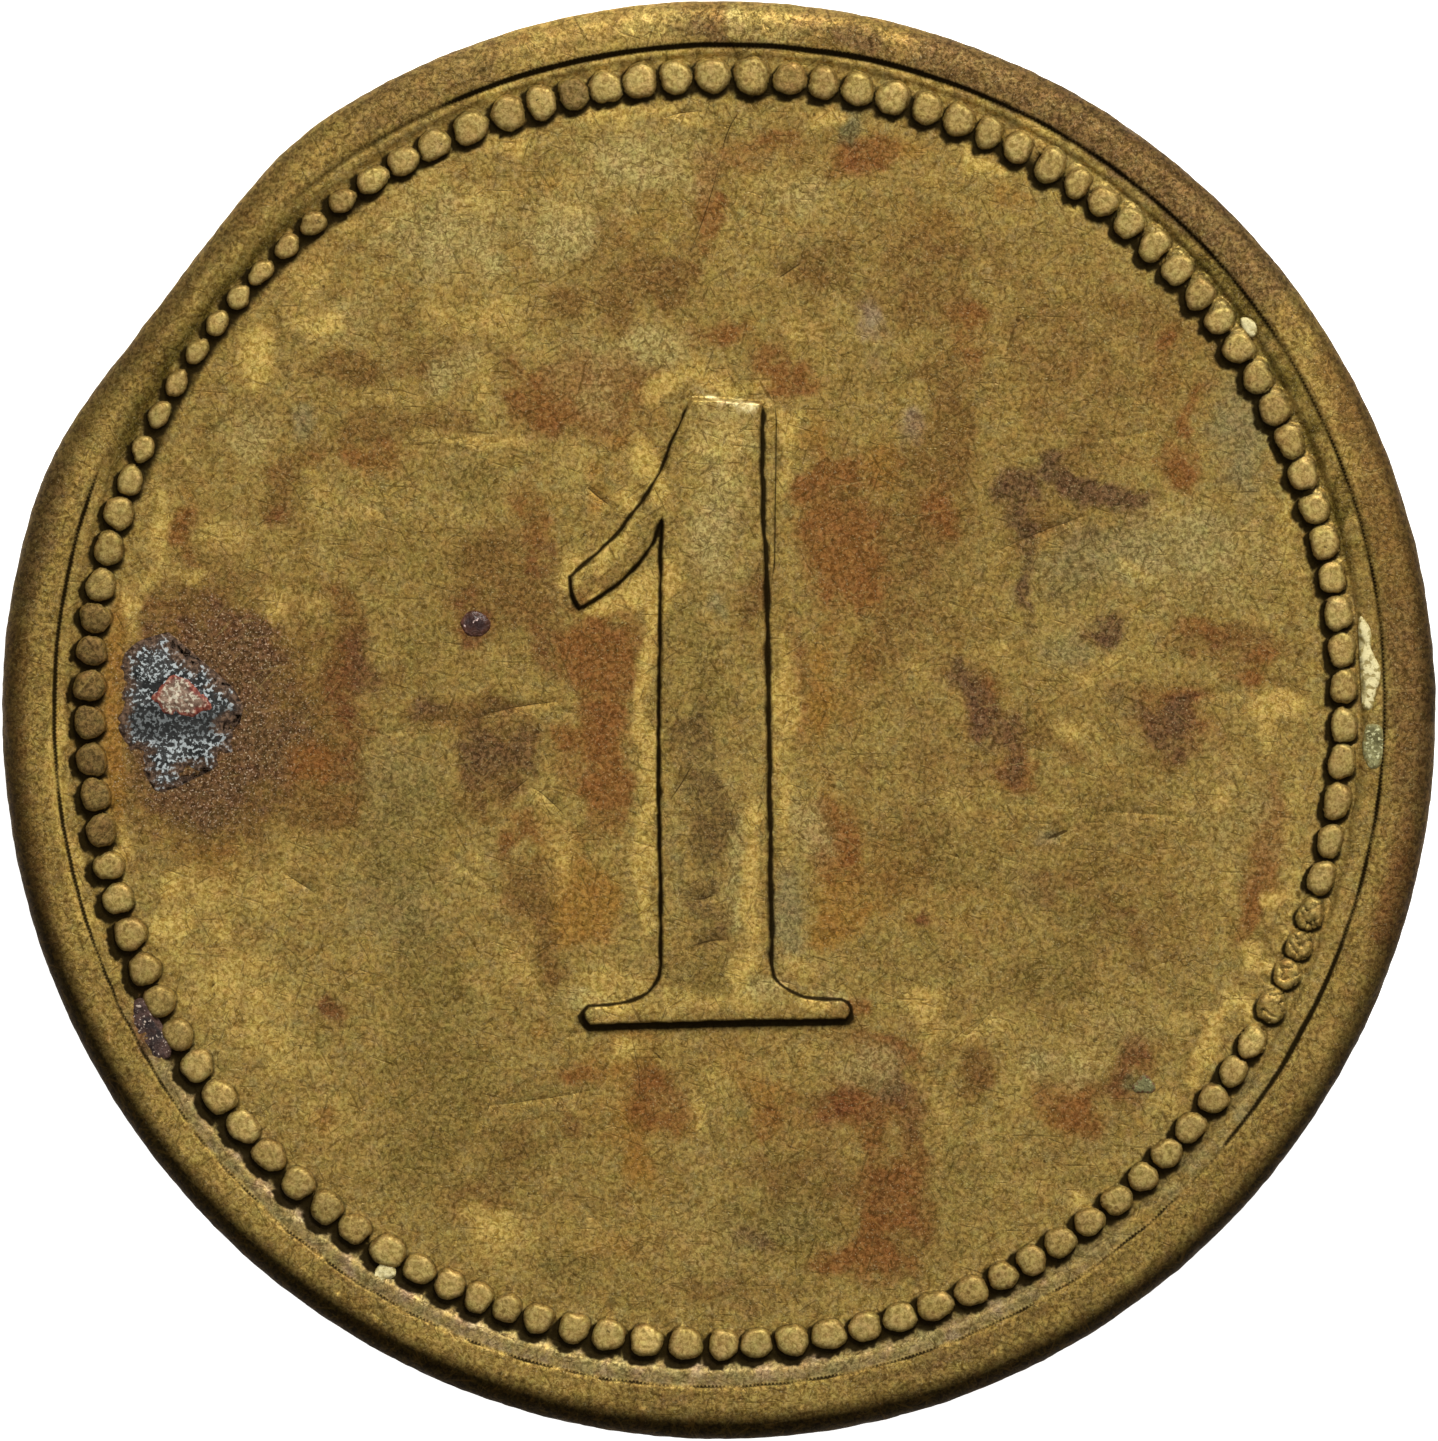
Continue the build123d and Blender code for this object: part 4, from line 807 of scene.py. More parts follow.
    (1190, 560, 90, 60, 0, "khaki", 0.40), (1240, 830, 50, 60, 0, "khaki", 0.35), (1055, 1072, 40, 22, 0, "khaki", 0.6),
    (870, 1065, 34, 34, 0, "khaki", 0.45), (810, 830, 24, 44, 0, "khaki", 0.5), (800, 190, 40, 24, 0, "khaki", 0.4),
    (1110, 1030, 50, 30, 0, "khaki", 0.35), (700, 1240, 90, 40, 0, "khaki", 0.25), (380, 900, 60, 50, 0, "grey", 0.35),
    (400, 800, 50, 60, 0, "grey", 0.35), (890, 1190, 30, 50, 0, "olive", 0.6), (730, 440, 36, 40, 0, "khaki", 0.6),
    (715, 520, 30, 60, 0, "khaki", 0.4), (1213, 1020, 13, 9, 0, "yellow", 0.9), (1207, 1050, 15, 16, 0, "yellow", 0.8),
    (1190, 1072, 9, 11, 0, "yellow", 0.8), (1256, 962, 13, 20, 0, "yellow", 0.7), (1268, 900, 9, 13, 0, "yellow", 0.8),
    (1232, 1005, 12, 10, 0, "khaki", 0.7), (1225, 1075, 14, 14, 0, "khaki", 0.5), (1287, 968, 14, 18, 0, "yellow", 0.5),
    (590, 1003, 26, 8, 0, "khaki", 0.9), (835, 998, 24, 8, 0, "khaki", 0.9), (872, 1058, 26, 22, 0, "maroon", 0.45),
    (1135, 1060, 22, 20, 0, "maroon", 0.5), (1130, 1090, 14, 22, 0, "maroon", 0.4), (700, 960, 40, 30, 0, "olive", 0.4),
    (735, 860, 9, 90, 0, "khaki", 0.5), (852, 128, 14, 22, 0, "moss", 0.35), (700, 25, 22, 14, 0, "violet", 0.75),
    (845, 40, 40, 16, 10, "violet", 0.65), (880, 60, 30, 12, 15, "violet", 0.5), (780, 40, 26, 10, 4, "khaki", 0.6),
    (745, 30, 20, 20, 0, "khaki", 0.6), (655, 30, 24, 16, 0, "khaki", 0.5), (560, 40, 40, 16, -14, "brown", 0.5),
    (600, 20, 50, 8, -6, "brown", 0.5), (500, 55, 30, 14, -20, "brown", 0.45), (720, 905, 34, 40, 0, "khaki", 0.25), (765, 985, 24, 12, 0, "khaki", 0.7),
]  # fmt: skip
# Toning of the rim and the shoulder: from, to in degrees, inner and outer radius in mm.
RIM_TONING = [
    (352, 32, 11.25, 12.3, "brown", 0.85), (341, 352, 11.40, 12.3, "maroon", 0.75), (338, 352, 11.3, 12.3, "brown", 0.6), (350, 370, 11.15, 12.3, "violet", 0.45),
    (36, 74, 11.2, 12.3, "violet", 0.72), (44, 66, 11.3, 12.3, "brown", 0.5),
    (70, 84, 11.3, 11.9, "brown", 0.55), (88, 93, 11.15, 12.0, "brown", 0.75),
    (108, 122, 11.3, 12.2, "violet", 0.5), (128, 150, 11.2, 12.2, "brown", 0.45),
    (146, 152, 11.4, 11.8, "violet", 0.4), (158, 172, 11.5, 12.2, "violet", 0.6),
    (172, 200, 11.55, 12.2, "brown", 0.8), (200, 236, 11.50, 12.2, "brown", 0.30),
    (236, 300, 11.50, 12.2, "brown", 0.30), (300, 345, 11.50, 12.2, "brown", 0.30),
    (345, 360, 11.50, 12.2, "brown", 0.30), (262, 268, 11.2, 11.5, "violet", 0.5),
    (281, 296, 11.2, 11.45, "violet", 0.55), (318, 338, 11.2, 11.6, "brown", 0.5),
    (238, 243, 11.1, 11.4, "violet", 0.45), (328, 335, 11.15, 11.6, "yellow", 0.4),
    (94, 107, 11.25, 12.2, "yellow", 0.45), (84, 88, 11.3, 12.1, "yellow", 0.3), (78, 112, 11.45, 12.3, "grey", 0.45),
    (78, 84, 11.4, 12.2, "brown", 0.4),
    (107, 110, 11.2, 12.1, "yellow", 0.4), (178, 200, 11.0, 11.25, "yellow", 0.7),
    (178, 184, 10.95, 11.2, "yellow", 0.9), (212, 232, 11.15, 11.5, "yellow", 0.5),
    (152, 160, 11.1, 11.6, "yellow", 0.4), (196, 212, 11.2, 11.6, "yellow", 0.35),
    (20, 34, 11.2, 11.5, "yellow", 0.5), (240, 262, 11.2, 11.55, "yellow", 0.5),
    (268, 281, 11.2, 11.5, "yellow", 0.4), (128, 146, 11.0, 11.35, "yellow", 0.45),
    (128, 158, 10.8, 11.02, "olive", 0.8), (38, 48, 10.85, 11.15, "olive", 0.9),
    (300, 318, 11.2, 11.55, "olive", 0.4), (0, 18, 11.2, 11.4, "olive", 0.6),
]  # fmt: skip
# Pearls with a tone of their own: angle in degrees, layer, strength
PEARL_TONING = [
    (170.8, "umber", 0.85), (173.8, "umber", 1.0), (177.0, "umber", 1.0), (180.3, "umber", 1.0),
    (183.7, "umber", 1.0), (186.9, "umber", 0.9), (190.2, "umber", 0.9), (167.8, "umber", 0.5),
    (174.0, "violet", 0.5), (180.3, "violet", 0.6), (183.7, "violet", 0.4), (190.2, "red", 0.5), (186.9, "red", 0.4),
    (83.8, "maroon", 0.50), (103.2, "violet", 0.7), (100.3, "brown", 0.3), (112.9, "olive", 0.4),
    (206.7, "umber", 0.55), (210.2, "umber", 0.45), (234.3, "violet", 0.35), (203.5, "brown", 0.35),
    (35.6, "grey", 0.3), (32.4, "brown", 0.45), (29.2, "violet", 0.35), (41.5, "brown", 0.3),
    (244.4, "orange", 0.4), (306.3, "violet", 0.4), (280.0, "brown", 0.35), (296.9, "brown", 0.35),
    (322.4, "brown", 0.3), (13.0, "brown", 0.3), (56.3, "brown", 0.2), (345.2, "brown", 0.3),
]  # fmt: skip
# of these layers, dark is painted shade on the shoulder and pale a painted highlight along the top edge of the figure;
# the rest are tarnish and rubbed brass
LAYERS = ["brown", "red", "maroon", "orange", "violet", "yellow", "khaki", "pale", "olive", "grey", "green", "moss", "lilac", "dark", "umber"]


def toned(x, y, fields, upper, seed):
    """Strength of every toning layer at each point, the painted shade on the shoulder among them."""
    r0 = np.hypot(x, y)
    out = {k: np.zeros_like(x) for k in LAYERS}
    wx = x + 0.22 * fbm(x, y, 0.9, 5, seed + 40)
    wy = y + 0.22 * fbm(x, y, 0.9, 5, seed + 41)
    edge = 0.34 * fbm(x, y, 0.45, 4, seed + 42)
    density = 1 + 0.45 * fbm(x, y, 0.6, 4, seed + 44)
    if upper:
        for px, py, rx, ry, turn, layer, strength in TONING:
            cx, cy = mm(px, py)
            t = math.radians(-turn)
            near = np.nonzero((np.abs(x - cx) < 3.4) & (np.abs(y - cy) < 3.4))[0]
            dx, dy = wx[near] - cx, wy[near] - cy
            u = (dx * math.cos(t) + dy * math.sin(t)) / (rx * 0.016698)
            v = (-dx * math.sin(t) + dy * math.cos(t)) / (ry * 0.016698)
            s = np.hypot(u, v) + edge[near]
            m = np.clip(1.12 * strength * density[near], 0, 1) * (1 - step(0.35, 1.45, s))
            out[layer][near] = 1 - (1 - out[layer][near]) * (1 - m)
        # the scorched ring round the mineral scab
        lo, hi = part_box("grey_mineral_crust")
        cx, cy = (lo.x + hi.x) / 2 / MM, (lo.y + hi.y) / 2 / MM
        s = np.hypot((wx - cx - 0.42) / 1.85, (wy - cy + 0.08) / 2.30) + 0.6 * edge
        ring = 1 - step(0.52, 1.12, s)
        near_ring = 1 - step(0.40, 0.80, s)
        out["violet"] = np.maximum(out["violet"], 0.75 * ring + 0.25 * near_ring)
        out["brown"] = np.maximum(out["brown"], 0.95 * ring)
        far = 1 - step(0.8, 1.6, np.hypot((wx - cx - 0.7) / 2.0, (wy - cy) / 2.1) + 0.8 * edge)
        out["brown"] = np.maximum(out["brown"], 0.85 * far)
        red = np.exp(-(((s - 0.66) / 0.10) ** 2)) * step(cy - 0.2, cy + 0.9, y) * 0.8
        out["maroon"] = np.maximum(out["maroon"], red)
        warm = step(cx - 0.92, cx - 1.02, x) * (1 - step(1.5, 2.4, np.abs(y - cy))) * step(10.45, 10.2, r0)
        out["orange"] = np.maximum(out["orange"], 0.95 * warm)
        out["violet"] = out["violet"] * (1 - 0.9 * warm)
        out["brown"] = out["brown"] * (1 - 0.7 * warm)
        out["yellow"] = out["yellow"] * (1 - ring)
        out["scab"] = ring
    else:
        rng = np.random.default_rng(seed + 5)
        for _ in range(95):
            cx, cy = rng.uniform(-9.5, 9.5, 2)
            rx, ry = rng.uniform(0.35, 1.5), rng.uniform(0.3, 1.1)
            t = rng.uniform(0, math.pi)
            layer = rng.choice(["brown", "red", "violet", "orange", "yellow", "olive", "grey", "brown"])
            strength = rng.uniform(0.3, 0.85)
            dx, dy = wx - cx, wy - cy
            u = (dx * math.cos(t) + dy * math.sin(t)) / rx
            v = (-dx * math.sin(t) + dy * math.cos(t)) / ry
            m = strength * (1 - step(0.45, 1.35, np.hypot(u, v) + edge))
            out[layer] = 1 - (1 - out[layer]) * (1 - m)
        out["scab"] = np.zeros_like(x)
    r = np.hypot(x, y)
    a = np.degrees(np.arctan2(y, x)) % 360
    jit = 0.12 * fbm(x, y, 0.9, 3, seed + 43)
    aj = (a + 14 * jit) % 360
    for lo, hi, r0, r1, layer, strength in RIM_TONING:
        if not upper:
            lo, hi = lo + 60, hi + 60
        hi = hi + 360 if hi < lo else hi
        m = strength * arc(aj, lo, hi, 4.0) * step(r0 - 0.10, r0 + 0.08, r + jit)
        m = m * (1 - step(r1 - 0.06, r1 + 0.10, r + jit))
        out[layer] = np.maximum(out[layer], m)
    # painted shade over the shoulder: darkest at the bottom, away from the key light, and none at the top
    ang = [0, 20, 40, 60, 75, 105, 120, 135, 150, 165, 180, 200, 220, 240, 270, 300, 320, 340, 360]
    shoulder_shade = [0.80, 0.62, 0.50, 0.42, 0.20, 0.0, 0.32, 0.40, 0.55, 0.62, 0.72, 0.86, 0.94, 1, 1, 0.96, 0.92, 0.80, 0.62]
    start = [11.5, 11.7, 11.72, 11.72, 11.8, 11.8, 11.7, 11.5, 11.4, 11.46, 11.48, 11.46, 11.45, 11.44, 11.43, 11.44, 11.42, 11.44, 11.5]
    own = a if upper else (180 - a) % 360
    knocked = np.where(dented(own) > 0, np.interp(own, [p[0] for p in DENT], [p[1] for p in DENT]), 0)
    reach = r - knocked + 0.05 * jit
    out["dark"] = np.interp(own, ang, shoulder_shade) * step(np.interp(own, ang, start), 11.88 - 0.09 * arc(own, 195, 255, 15), reach)
    # the channel: olive beside the wall on the right, greyed where it is filled below
    g = groove(a)
    rb = pearl_radius(a)
    chan = step(rb + 0.15, rb + 0.3, r) * step(g + 0.01, g - 0.03, r)
    mott = np.clip(0.7 + 0.8 * fbm(x, y, 0.5, 4, seed + 45), 0, 1.3)
    out["moss"] = np.clip(chan * mott * (0.95 * arc(a, 14, 50, 12) + 0.20 * arc(a, 128, 160, 16) + 0.25 * arc(a, 344, 374, 10)), 0, 1)
    out["moss"] = np.maximum(out["moss"], 0.85 * dented(own) * step(rb + 0.12, rb + 0.25, r) * step(rb + 0.62, rb + 0.38, r))
    out["yellow"] = np.maximum(out["yellow"], np.clip(chan * mott * 0.85 * arc(a, 56, 112, 14), 0, 1))
    out["grey"] = np.maximum(out["grey"], np.clip(chan * mott * 0.75 * arc(a, 205, 330, 20), 0, 1))
    out["lilac"] = np.maximum(out["lilac"], np.clip(chan * (1.1 - mott) * 0.8 * arc(a, 205, 305, 20), 0, 1))
    if upper:
        on = fields["pearl"]
        who = fields["_who"]
        table = np.array(PEARL_ANGLE)
        for layer in LAYERS:
            out[layer] = out[layer] * (1 - 0.75 * on)
        for angle, layer, strength in PEARL_TONING:
            k = int(np.argmin(np.abs(table - angle)))
            out[layer] = np.maximum(out[layer], strength * (who == k) * on)
    return out


# ------------------------------------------------------------------ meshing a face
COLUMNS = 888
LOOP_ANGLE = np.arange(COLUMNS) * 360 / COLUMNS


def at(a, r):
    t = np.radians(a)
    return np.stack([r * np.cos(t), r * np.sin(t)], 1)


def keep_clear(points, taken, cell):
    """Those points whose cell, or a neighbouring one, holds none of the taken points."""
    grid = np.zeros((int(26 / cell) + 4,) * 2, bool)
    off = 13.0
    i = np.floor((taken + off) / cell).astype(int) + 1
    for dx in (-1, 0, 1):
        for dy in (-1, 0, 1):
            grid[i[:, 0] + dx, i[:, 1] + dy] = True
    j = np.floor((points + off) / cell).astype(int) + 1
    return points[~grid[j[:, 0], j[:, 1]]]


def face_points(face, loop, fine, seed):
    """The points that a face is triangulated from: rows along each step of the relief, and a loose grid between them."""
    rng = np.random.default_rng(seed)
    B = face.border
    sets = []

    def own(a):
        return a if face.upper else (180 - a) % 360

    def row(rad, count, jitter=0.0, mask=None, shift=0.0):
        a = (np.arange(count) + shift) * 360 / count
        if jitter:
            a = (a + rng.uniform(-0.3, 0.3, count) * 360 / count) % 360
        r = rad(a) + jitter * rng.uniform(-1, 1, count)
        p = at(a, r)
        return p[mask(a)] if mask is not None else p

    edge_r = lambda a: outline(own(a)) - SHOULDER_W
    b_of = lambda a: np.interp(a, [p[0] for p in PEARL_B], [p[1] for p in PEARL_B])
    # wall between rim and moat
    wall = [-0.085, -0.058, -0.032, -0.006, 0.020, 0.045] if fine else [-0.06, -0.03, 0.022]
    for k, d in enumerate(wall):
        sets.append(row(lambda a: groove(a) + d, 1110 if fine else 666, 0, lambda a: dented(own(a)) < 0.6, 0.5 * (k % 2)))
    # rim
    rows = 5 if fine else 3
    for k in range(rows):
        f = (k + 0.5) / rows
        rad = lambda a: groove(a) + 0.07 + f * (edge_r(a) - 0.055 - groove(a) - 0.07)
        sets.append(row(rad, 720 if fine else 444, 0.012, lambda a: edge_r(a) - groove(a) > 0.26, 0.3 * k))
        sets.append(row(lambda a: groove(a) - 0.04 + f * (edge_r(a) - 0.05 - groove(a) + 0.04), 720, 0.01,
                        lambda a: (edge_r(a) - groove(a) <= 0.26) & (edge_r(a) - groove(a) > 0.10) & (k % 2 == 0), 0.3 * k))
    # moat
    rows = 5 if fine else 3
    for k in range(rows):
        f = (k + 0.4) / rows
        rad = lambda a: pearl_radius(a) + b_of(a) + 0.05 + f * (groove(a) - 0.10 - pearl_radius(a) - b_of(a) - 0.05)
        sets.append(row(rad, 900 if fine else 540, 0.012, None, 0.37 * k))
    # inner side of the border
    for k, d in enumerate([0.06, 0.13, 0.22] if fine else [0.07, 0.18]):
        sets.append(row(lambda a: pearl_radius(a) - b_of(a) - d, 800 if fine else 500, 0.012, None, 0.4 * k))
    # pearls
    if fine:
        rings = [(0.36, 8), (0.60, 16), (0.74, 24), (0.84, 24), (0.91, 24), (0.965, 24), (1.015, 24), (1.06, 24), (1.17, 24)]
    else:
        rings = [(0.45, 6), (0.78, 12), (0.97, 12), (1.06, 12)]
    pp, kk, rr = [], [], []
    for k in range(B.n):
        if face.upper and 330.5 < B.angles[k] < 343.4:
            continue
        pp.append(np.array([[B.t[k, 0], B.t[k, 1]]])); kk.append([k]); rr.append([0.0])
        for rho, count in rings:
            px, py = B.outer_ring(k, rho, count)
            pp.append(np.stack([px, py], 1)); kk.append([k] * count); rr.append([rho] * count)
    pp, kk, rr = np.vstack(pp), np.concatenate(kk).astype(int), np.concatenate(rr)
    ok = np.ones(len(pp), bool)
    for off in (-1, 1):
        q = B.rho(pp[:, 0], pp[:, 1], (kk + off) % B.n)
        ok &= q > np.minimum(rr + 0.005, 1.03)
    pearls = pp[ok]
    # fine patches: ghosts and mashed pearls
    patch = []
    if face.upper:
        for lo, hi, r0, r1, size in ((-10, 62, 0.16, None, 0.052), (328, 346, -0.46, 0.50, 0.036)):
            n = int(math.radians(hi - lo) * 10.6 / (size * 0.58))
            m = int((0.75 if r1 is None else r1 - r0) / (size * 0.80))
            A, Q = np.meshgrid(np.linspace(lo, hi, n), np.linspace(0, 1, m))
            A = (A + rng.uniform(-0.3, 0.3, A.shape) * (hi - lo) / n).ravel() % 360
            Q = (Q + rng.uniform(-0.3, 0.3, Q.shape) / m).ravel().clip(0, 1)
            rb = pearl_radius(A)
            R = rb + r0 + Q * ((groove(A) - 0.11 - rb - r0) if r1 is None else (r1 - r0))
            patch.append(at(A, R))
    # numeral
    t = np.roll(FIGURE, -1, 0) - np.roll(FIGURE, 1, 0)
    nrm = np.stack([t[:, 1], -t[:, 0]], 1)
    nrm /= np.linalg.norm(nrm, axis=1)[:, None]
    fig = []
    base = FIGURE if fine else FIGURE[::2]
    nn = nrm if fine else nrm[::2]
    for d in ([-0.115, -0.066, -0.034, -0.005, 0.024, 0.05, 0.10] if fine else [-0.07, -0.034, 0.024, 0.06]):
        q = base - nn * d
        true = inside_distance(q[:, 0], q[:, 1], FIGURE)
        fig.append(q[np.abs(true - d) < 0.010])
    if face.upper:
        yy = np.arange(1.85, 5.32, 0.055)
        xe = np.interp(yy, [1.9, 2.6, 5.0, 5.3], [0.80, 0.905, 0.935, 0.90])
        for d in (-0.02, 0.0, 0.02):
            fig.append(np.stack([xe + d, yy], 1))
        for p, n, depth, width in SCRATCHES:
            for d in (-1.0, 0.0, 1.0):
                fig.append(p + n * d * width)
    feature = np.vstack([pearls] + fig)
    # rows give way to features, patches to both
    sets = [s for s in sets if len(s)]
    rows_ = keep_clear(np.vstack(sets), feature, 0.022)
    feature = np.vstack([feature, rows_])
    if patch:
        feature = np.vstack([feature, keep_clear(np.vstack(patch), feature, 0.016)])
    # loose grid over the field
    size = 0.152 if fine else 0.30
    gx, gy = np.meshgrid(np.arange(-10.6, 10.6, size), np.arange(-10.6, 10.6, size * 0.866))
    gx = gx + (np.arange(gx.shape[0])[:, None] % 2) * size / 2
    gx = gx + rng.uniform(-0.2, 0.2, gx.shape) * size
    gy = gy + rng.uniform(-0.2, 0.2, gy.shape) * size
    g = np.stack([gx.ravel(), gy.ravel()], 1)
    ga = np.degrees(np.arctan2(g[:, 1], g[:, 0])) % 360
    g = g[np.hypot(g[:, 0], g[:, 1]) < pearl_radius(ga) - b_of(ga) - 0.25]
    feature = np.vstack([feature, keep_clear(g, feature, size * 0.42)])
    # nothing at or beyond the loop
    fa = np.degrees(np.arctan2(feature[:, 1], feature[:, 0])) % 360
    feature = feature[np.hypot(feature[:, 0], feature[:, 1]) < edge_r(fa) - 0.030]
    key = np.unique(np.round(feature / 0.008).astype(int), axis=0, return_index=True)[1]
    return feature[np.sort(key)]


def triangulate(points, loop):
    """Points with the loop's first, and triangles that fill the loop."""
    every = np.vstack([loop, points])
    out = delaunay_2d_cdt([Vector(p) for p in every], [], [list(range(len(loop)))], 1, 1e-6, True)
    verts = np.array([(v.x, v.y) for v in out[0]])
    where = np.zeros(len(every), int)
    for k, orig in enumerate(out[3]):
        for o in orig:
            where[o] = k
    tris = np.array([f for f in out[2] if len(f) == 3], int)
    p, q, r = verts[tris[:, 0]], verts[tris[:, 1]], verts[tris[:, 2]]
    area = (q[:, 0] - p[:, 0]) * (r[:, 1] - p[:, 1]) - (q[:, 1] - p[:, 1]) * (r[:, 0] - p[:, 0])
    tris = tris[np.abs(area) > 1e-9]
    area = area[np.abs(area) > 1e-9]
    tris[area < 0] = tris[area < 0][:, ::-1]
    return verts, tris, where[: len(loop)]


def build_flan():
    faces = {}
    for name, upper, fine, seed in (("upper", True, True, 100), ("lower", False, False, 200)):
        face = Face(seed, upper)
        own = LOOP_ANGLE if upper else (180 - LOOP_ANGLE) % 360
        loop = at(own, outline(LOOP_ANGLE) - SHOULDER_W)
        ccw = loop if upper else loop[::-1]
        pts = face_points(face, ccw, fine, seed)
        xy, tris, ring = triangulate(pts, ccw)
        ring = ring if upper else ring[::-1]
        z, fields = face.relief(xy[:, 0], xy[:, 1])
        tone = toned(xy[:, 0], xy[:, 1], fields, upper, seed)
        faces[name] = (xy, tris, ring, z, fields, tone)

    names = ["shade_and_grime", "pearl", "ghost", "rim", "figure", "scratch", "crush", "tone", "scab", "edge"] + LAYERS
    data = {n: [] for n in names}
    verts, polys = [], []

    def put(pos, values):
        start = sum(len(v) for v in verts)
        verts.append(pos)
        for n in names:
            v = values.get(n)
            data[n].append(np.zeros(len(pos)) if v is None else np.broadcast_to(v, len(pos)).astype(float))
        return start

    xy, tris, ring_u, zu, f, t = faces["upper"]
    start = put(np.stack([xy[:, 0], xy[:, 1], zu], 1), {**f, **t})
    polys += [tuple(int(i) for i in q) for q in tris + start]
    top_row = ring_u + start
    xy2, tris2, ring_l, zl, f2, t2 = faces["lower"]
    start = put(np.stack([-xy2[:, 0], xy2[:, 1], THICK - zl], 1), {**f2, **t2})
    polys += [tuple(int(i) for i in q) for q in (tris2 + start)]
    low_row = ring_l + start

    # shoulder, edge, shoulder
    a = LOOP_ANGLE
    R = outline(a)
    rs = R - SHOULDER_W
    rows = []
    angles = np.radians([11, 22, 33, 44, 55, 66, 78, 90])
    z0 = zu[ring_u]
    zc = THICK - SHOULDER_H
    for ph in angles:
        rows.append((rs + SHOULDER_W * math.sin(ph), zc + (z0 - zc) * math.cos(ph), math.sin(ph)))
    for q in (0.2, 0.4, 0.6, 0.8):
        rows.append((R, np.full_like(R, zc + (SHOULDER_H - zc) * q), 1.0))
    z1 = THICK - zl[ring_l]
    for ph in angles[::-1]:
        rows.append((rs + SHOULDER_W * math.sin(ph), SHOULDER_H + (z1 - SHOULDER_H) * math.cos(ph), math.sin(ph)))
    last = top_row
    order = []
    for k, (r, z, s) in enumerate(rows):
        t = np.radians(a)
        cx, cy = 14 * np.cos(t), 14 * np.sin(t)
        bump = 0.010 * fbm(cx + 3 * z, cy - 2 * z, 0.55, 3, 61) + 0.006 * fbm(cx, cy + 4 * z, 0.2, 2, 62)
        nick = np.clip(np.abs(fbm(cx + 7, cy + 5 * z, 1.3, 2, 63)) - 0.62, 0, 1) * 0.10
        rr = r + (bump * (0.35 + 0.65 * s) - nick) * s
        x, y = rr * np.cos(t), rr * np.sin(t)
        upper = z > THICK / 2
        values = toned(x, y, {"pearl": np.zeros_like(x), "_who": np.zeros(len(x), int)}, True, 100)
        values["rim"] = 1.0
        values["edge"] = np.full(len(x), step(0.55, 1.0, np.array(s)))
        # darker mottling over the edge, and darker in its nicks
        values["shade_and_grime"] = np.clip(0.25 * fbm(cx, cy + 5 * z, 0.4, 3, 64), 0, 1) + 5 * nick
        start = put(np.stack([x, y, z], 1), values)
        order.append(np.arange(COLUMNS) + start)
    order.append(low_row)
    for row in order:
        nxt = np.roll(row, -1)
        lnx = np.roll(last, -1)
        polys += [
            (int(p), int(q), int(s_), int(w))
            for p, q, s_, w in zip(last, row, nxt, lnx, strict=True)
        ]
        last = row
    return np.vstack(verts), polys, {n: np.concatenate(v) for n, v in data.items()}


# ------------------------------------------------------------------ materials


def rgb(r, g, b):
    """A display colour, 0 to 255, as the linear value a socket takes."""
    out = []
    for v in (r, g, b):
        v /= 255
        out.append(v / 12.92 if v <= 0.04045 else ((v + 0.055) / 1.055) ** 2.4)
    return (*out, 1.0)


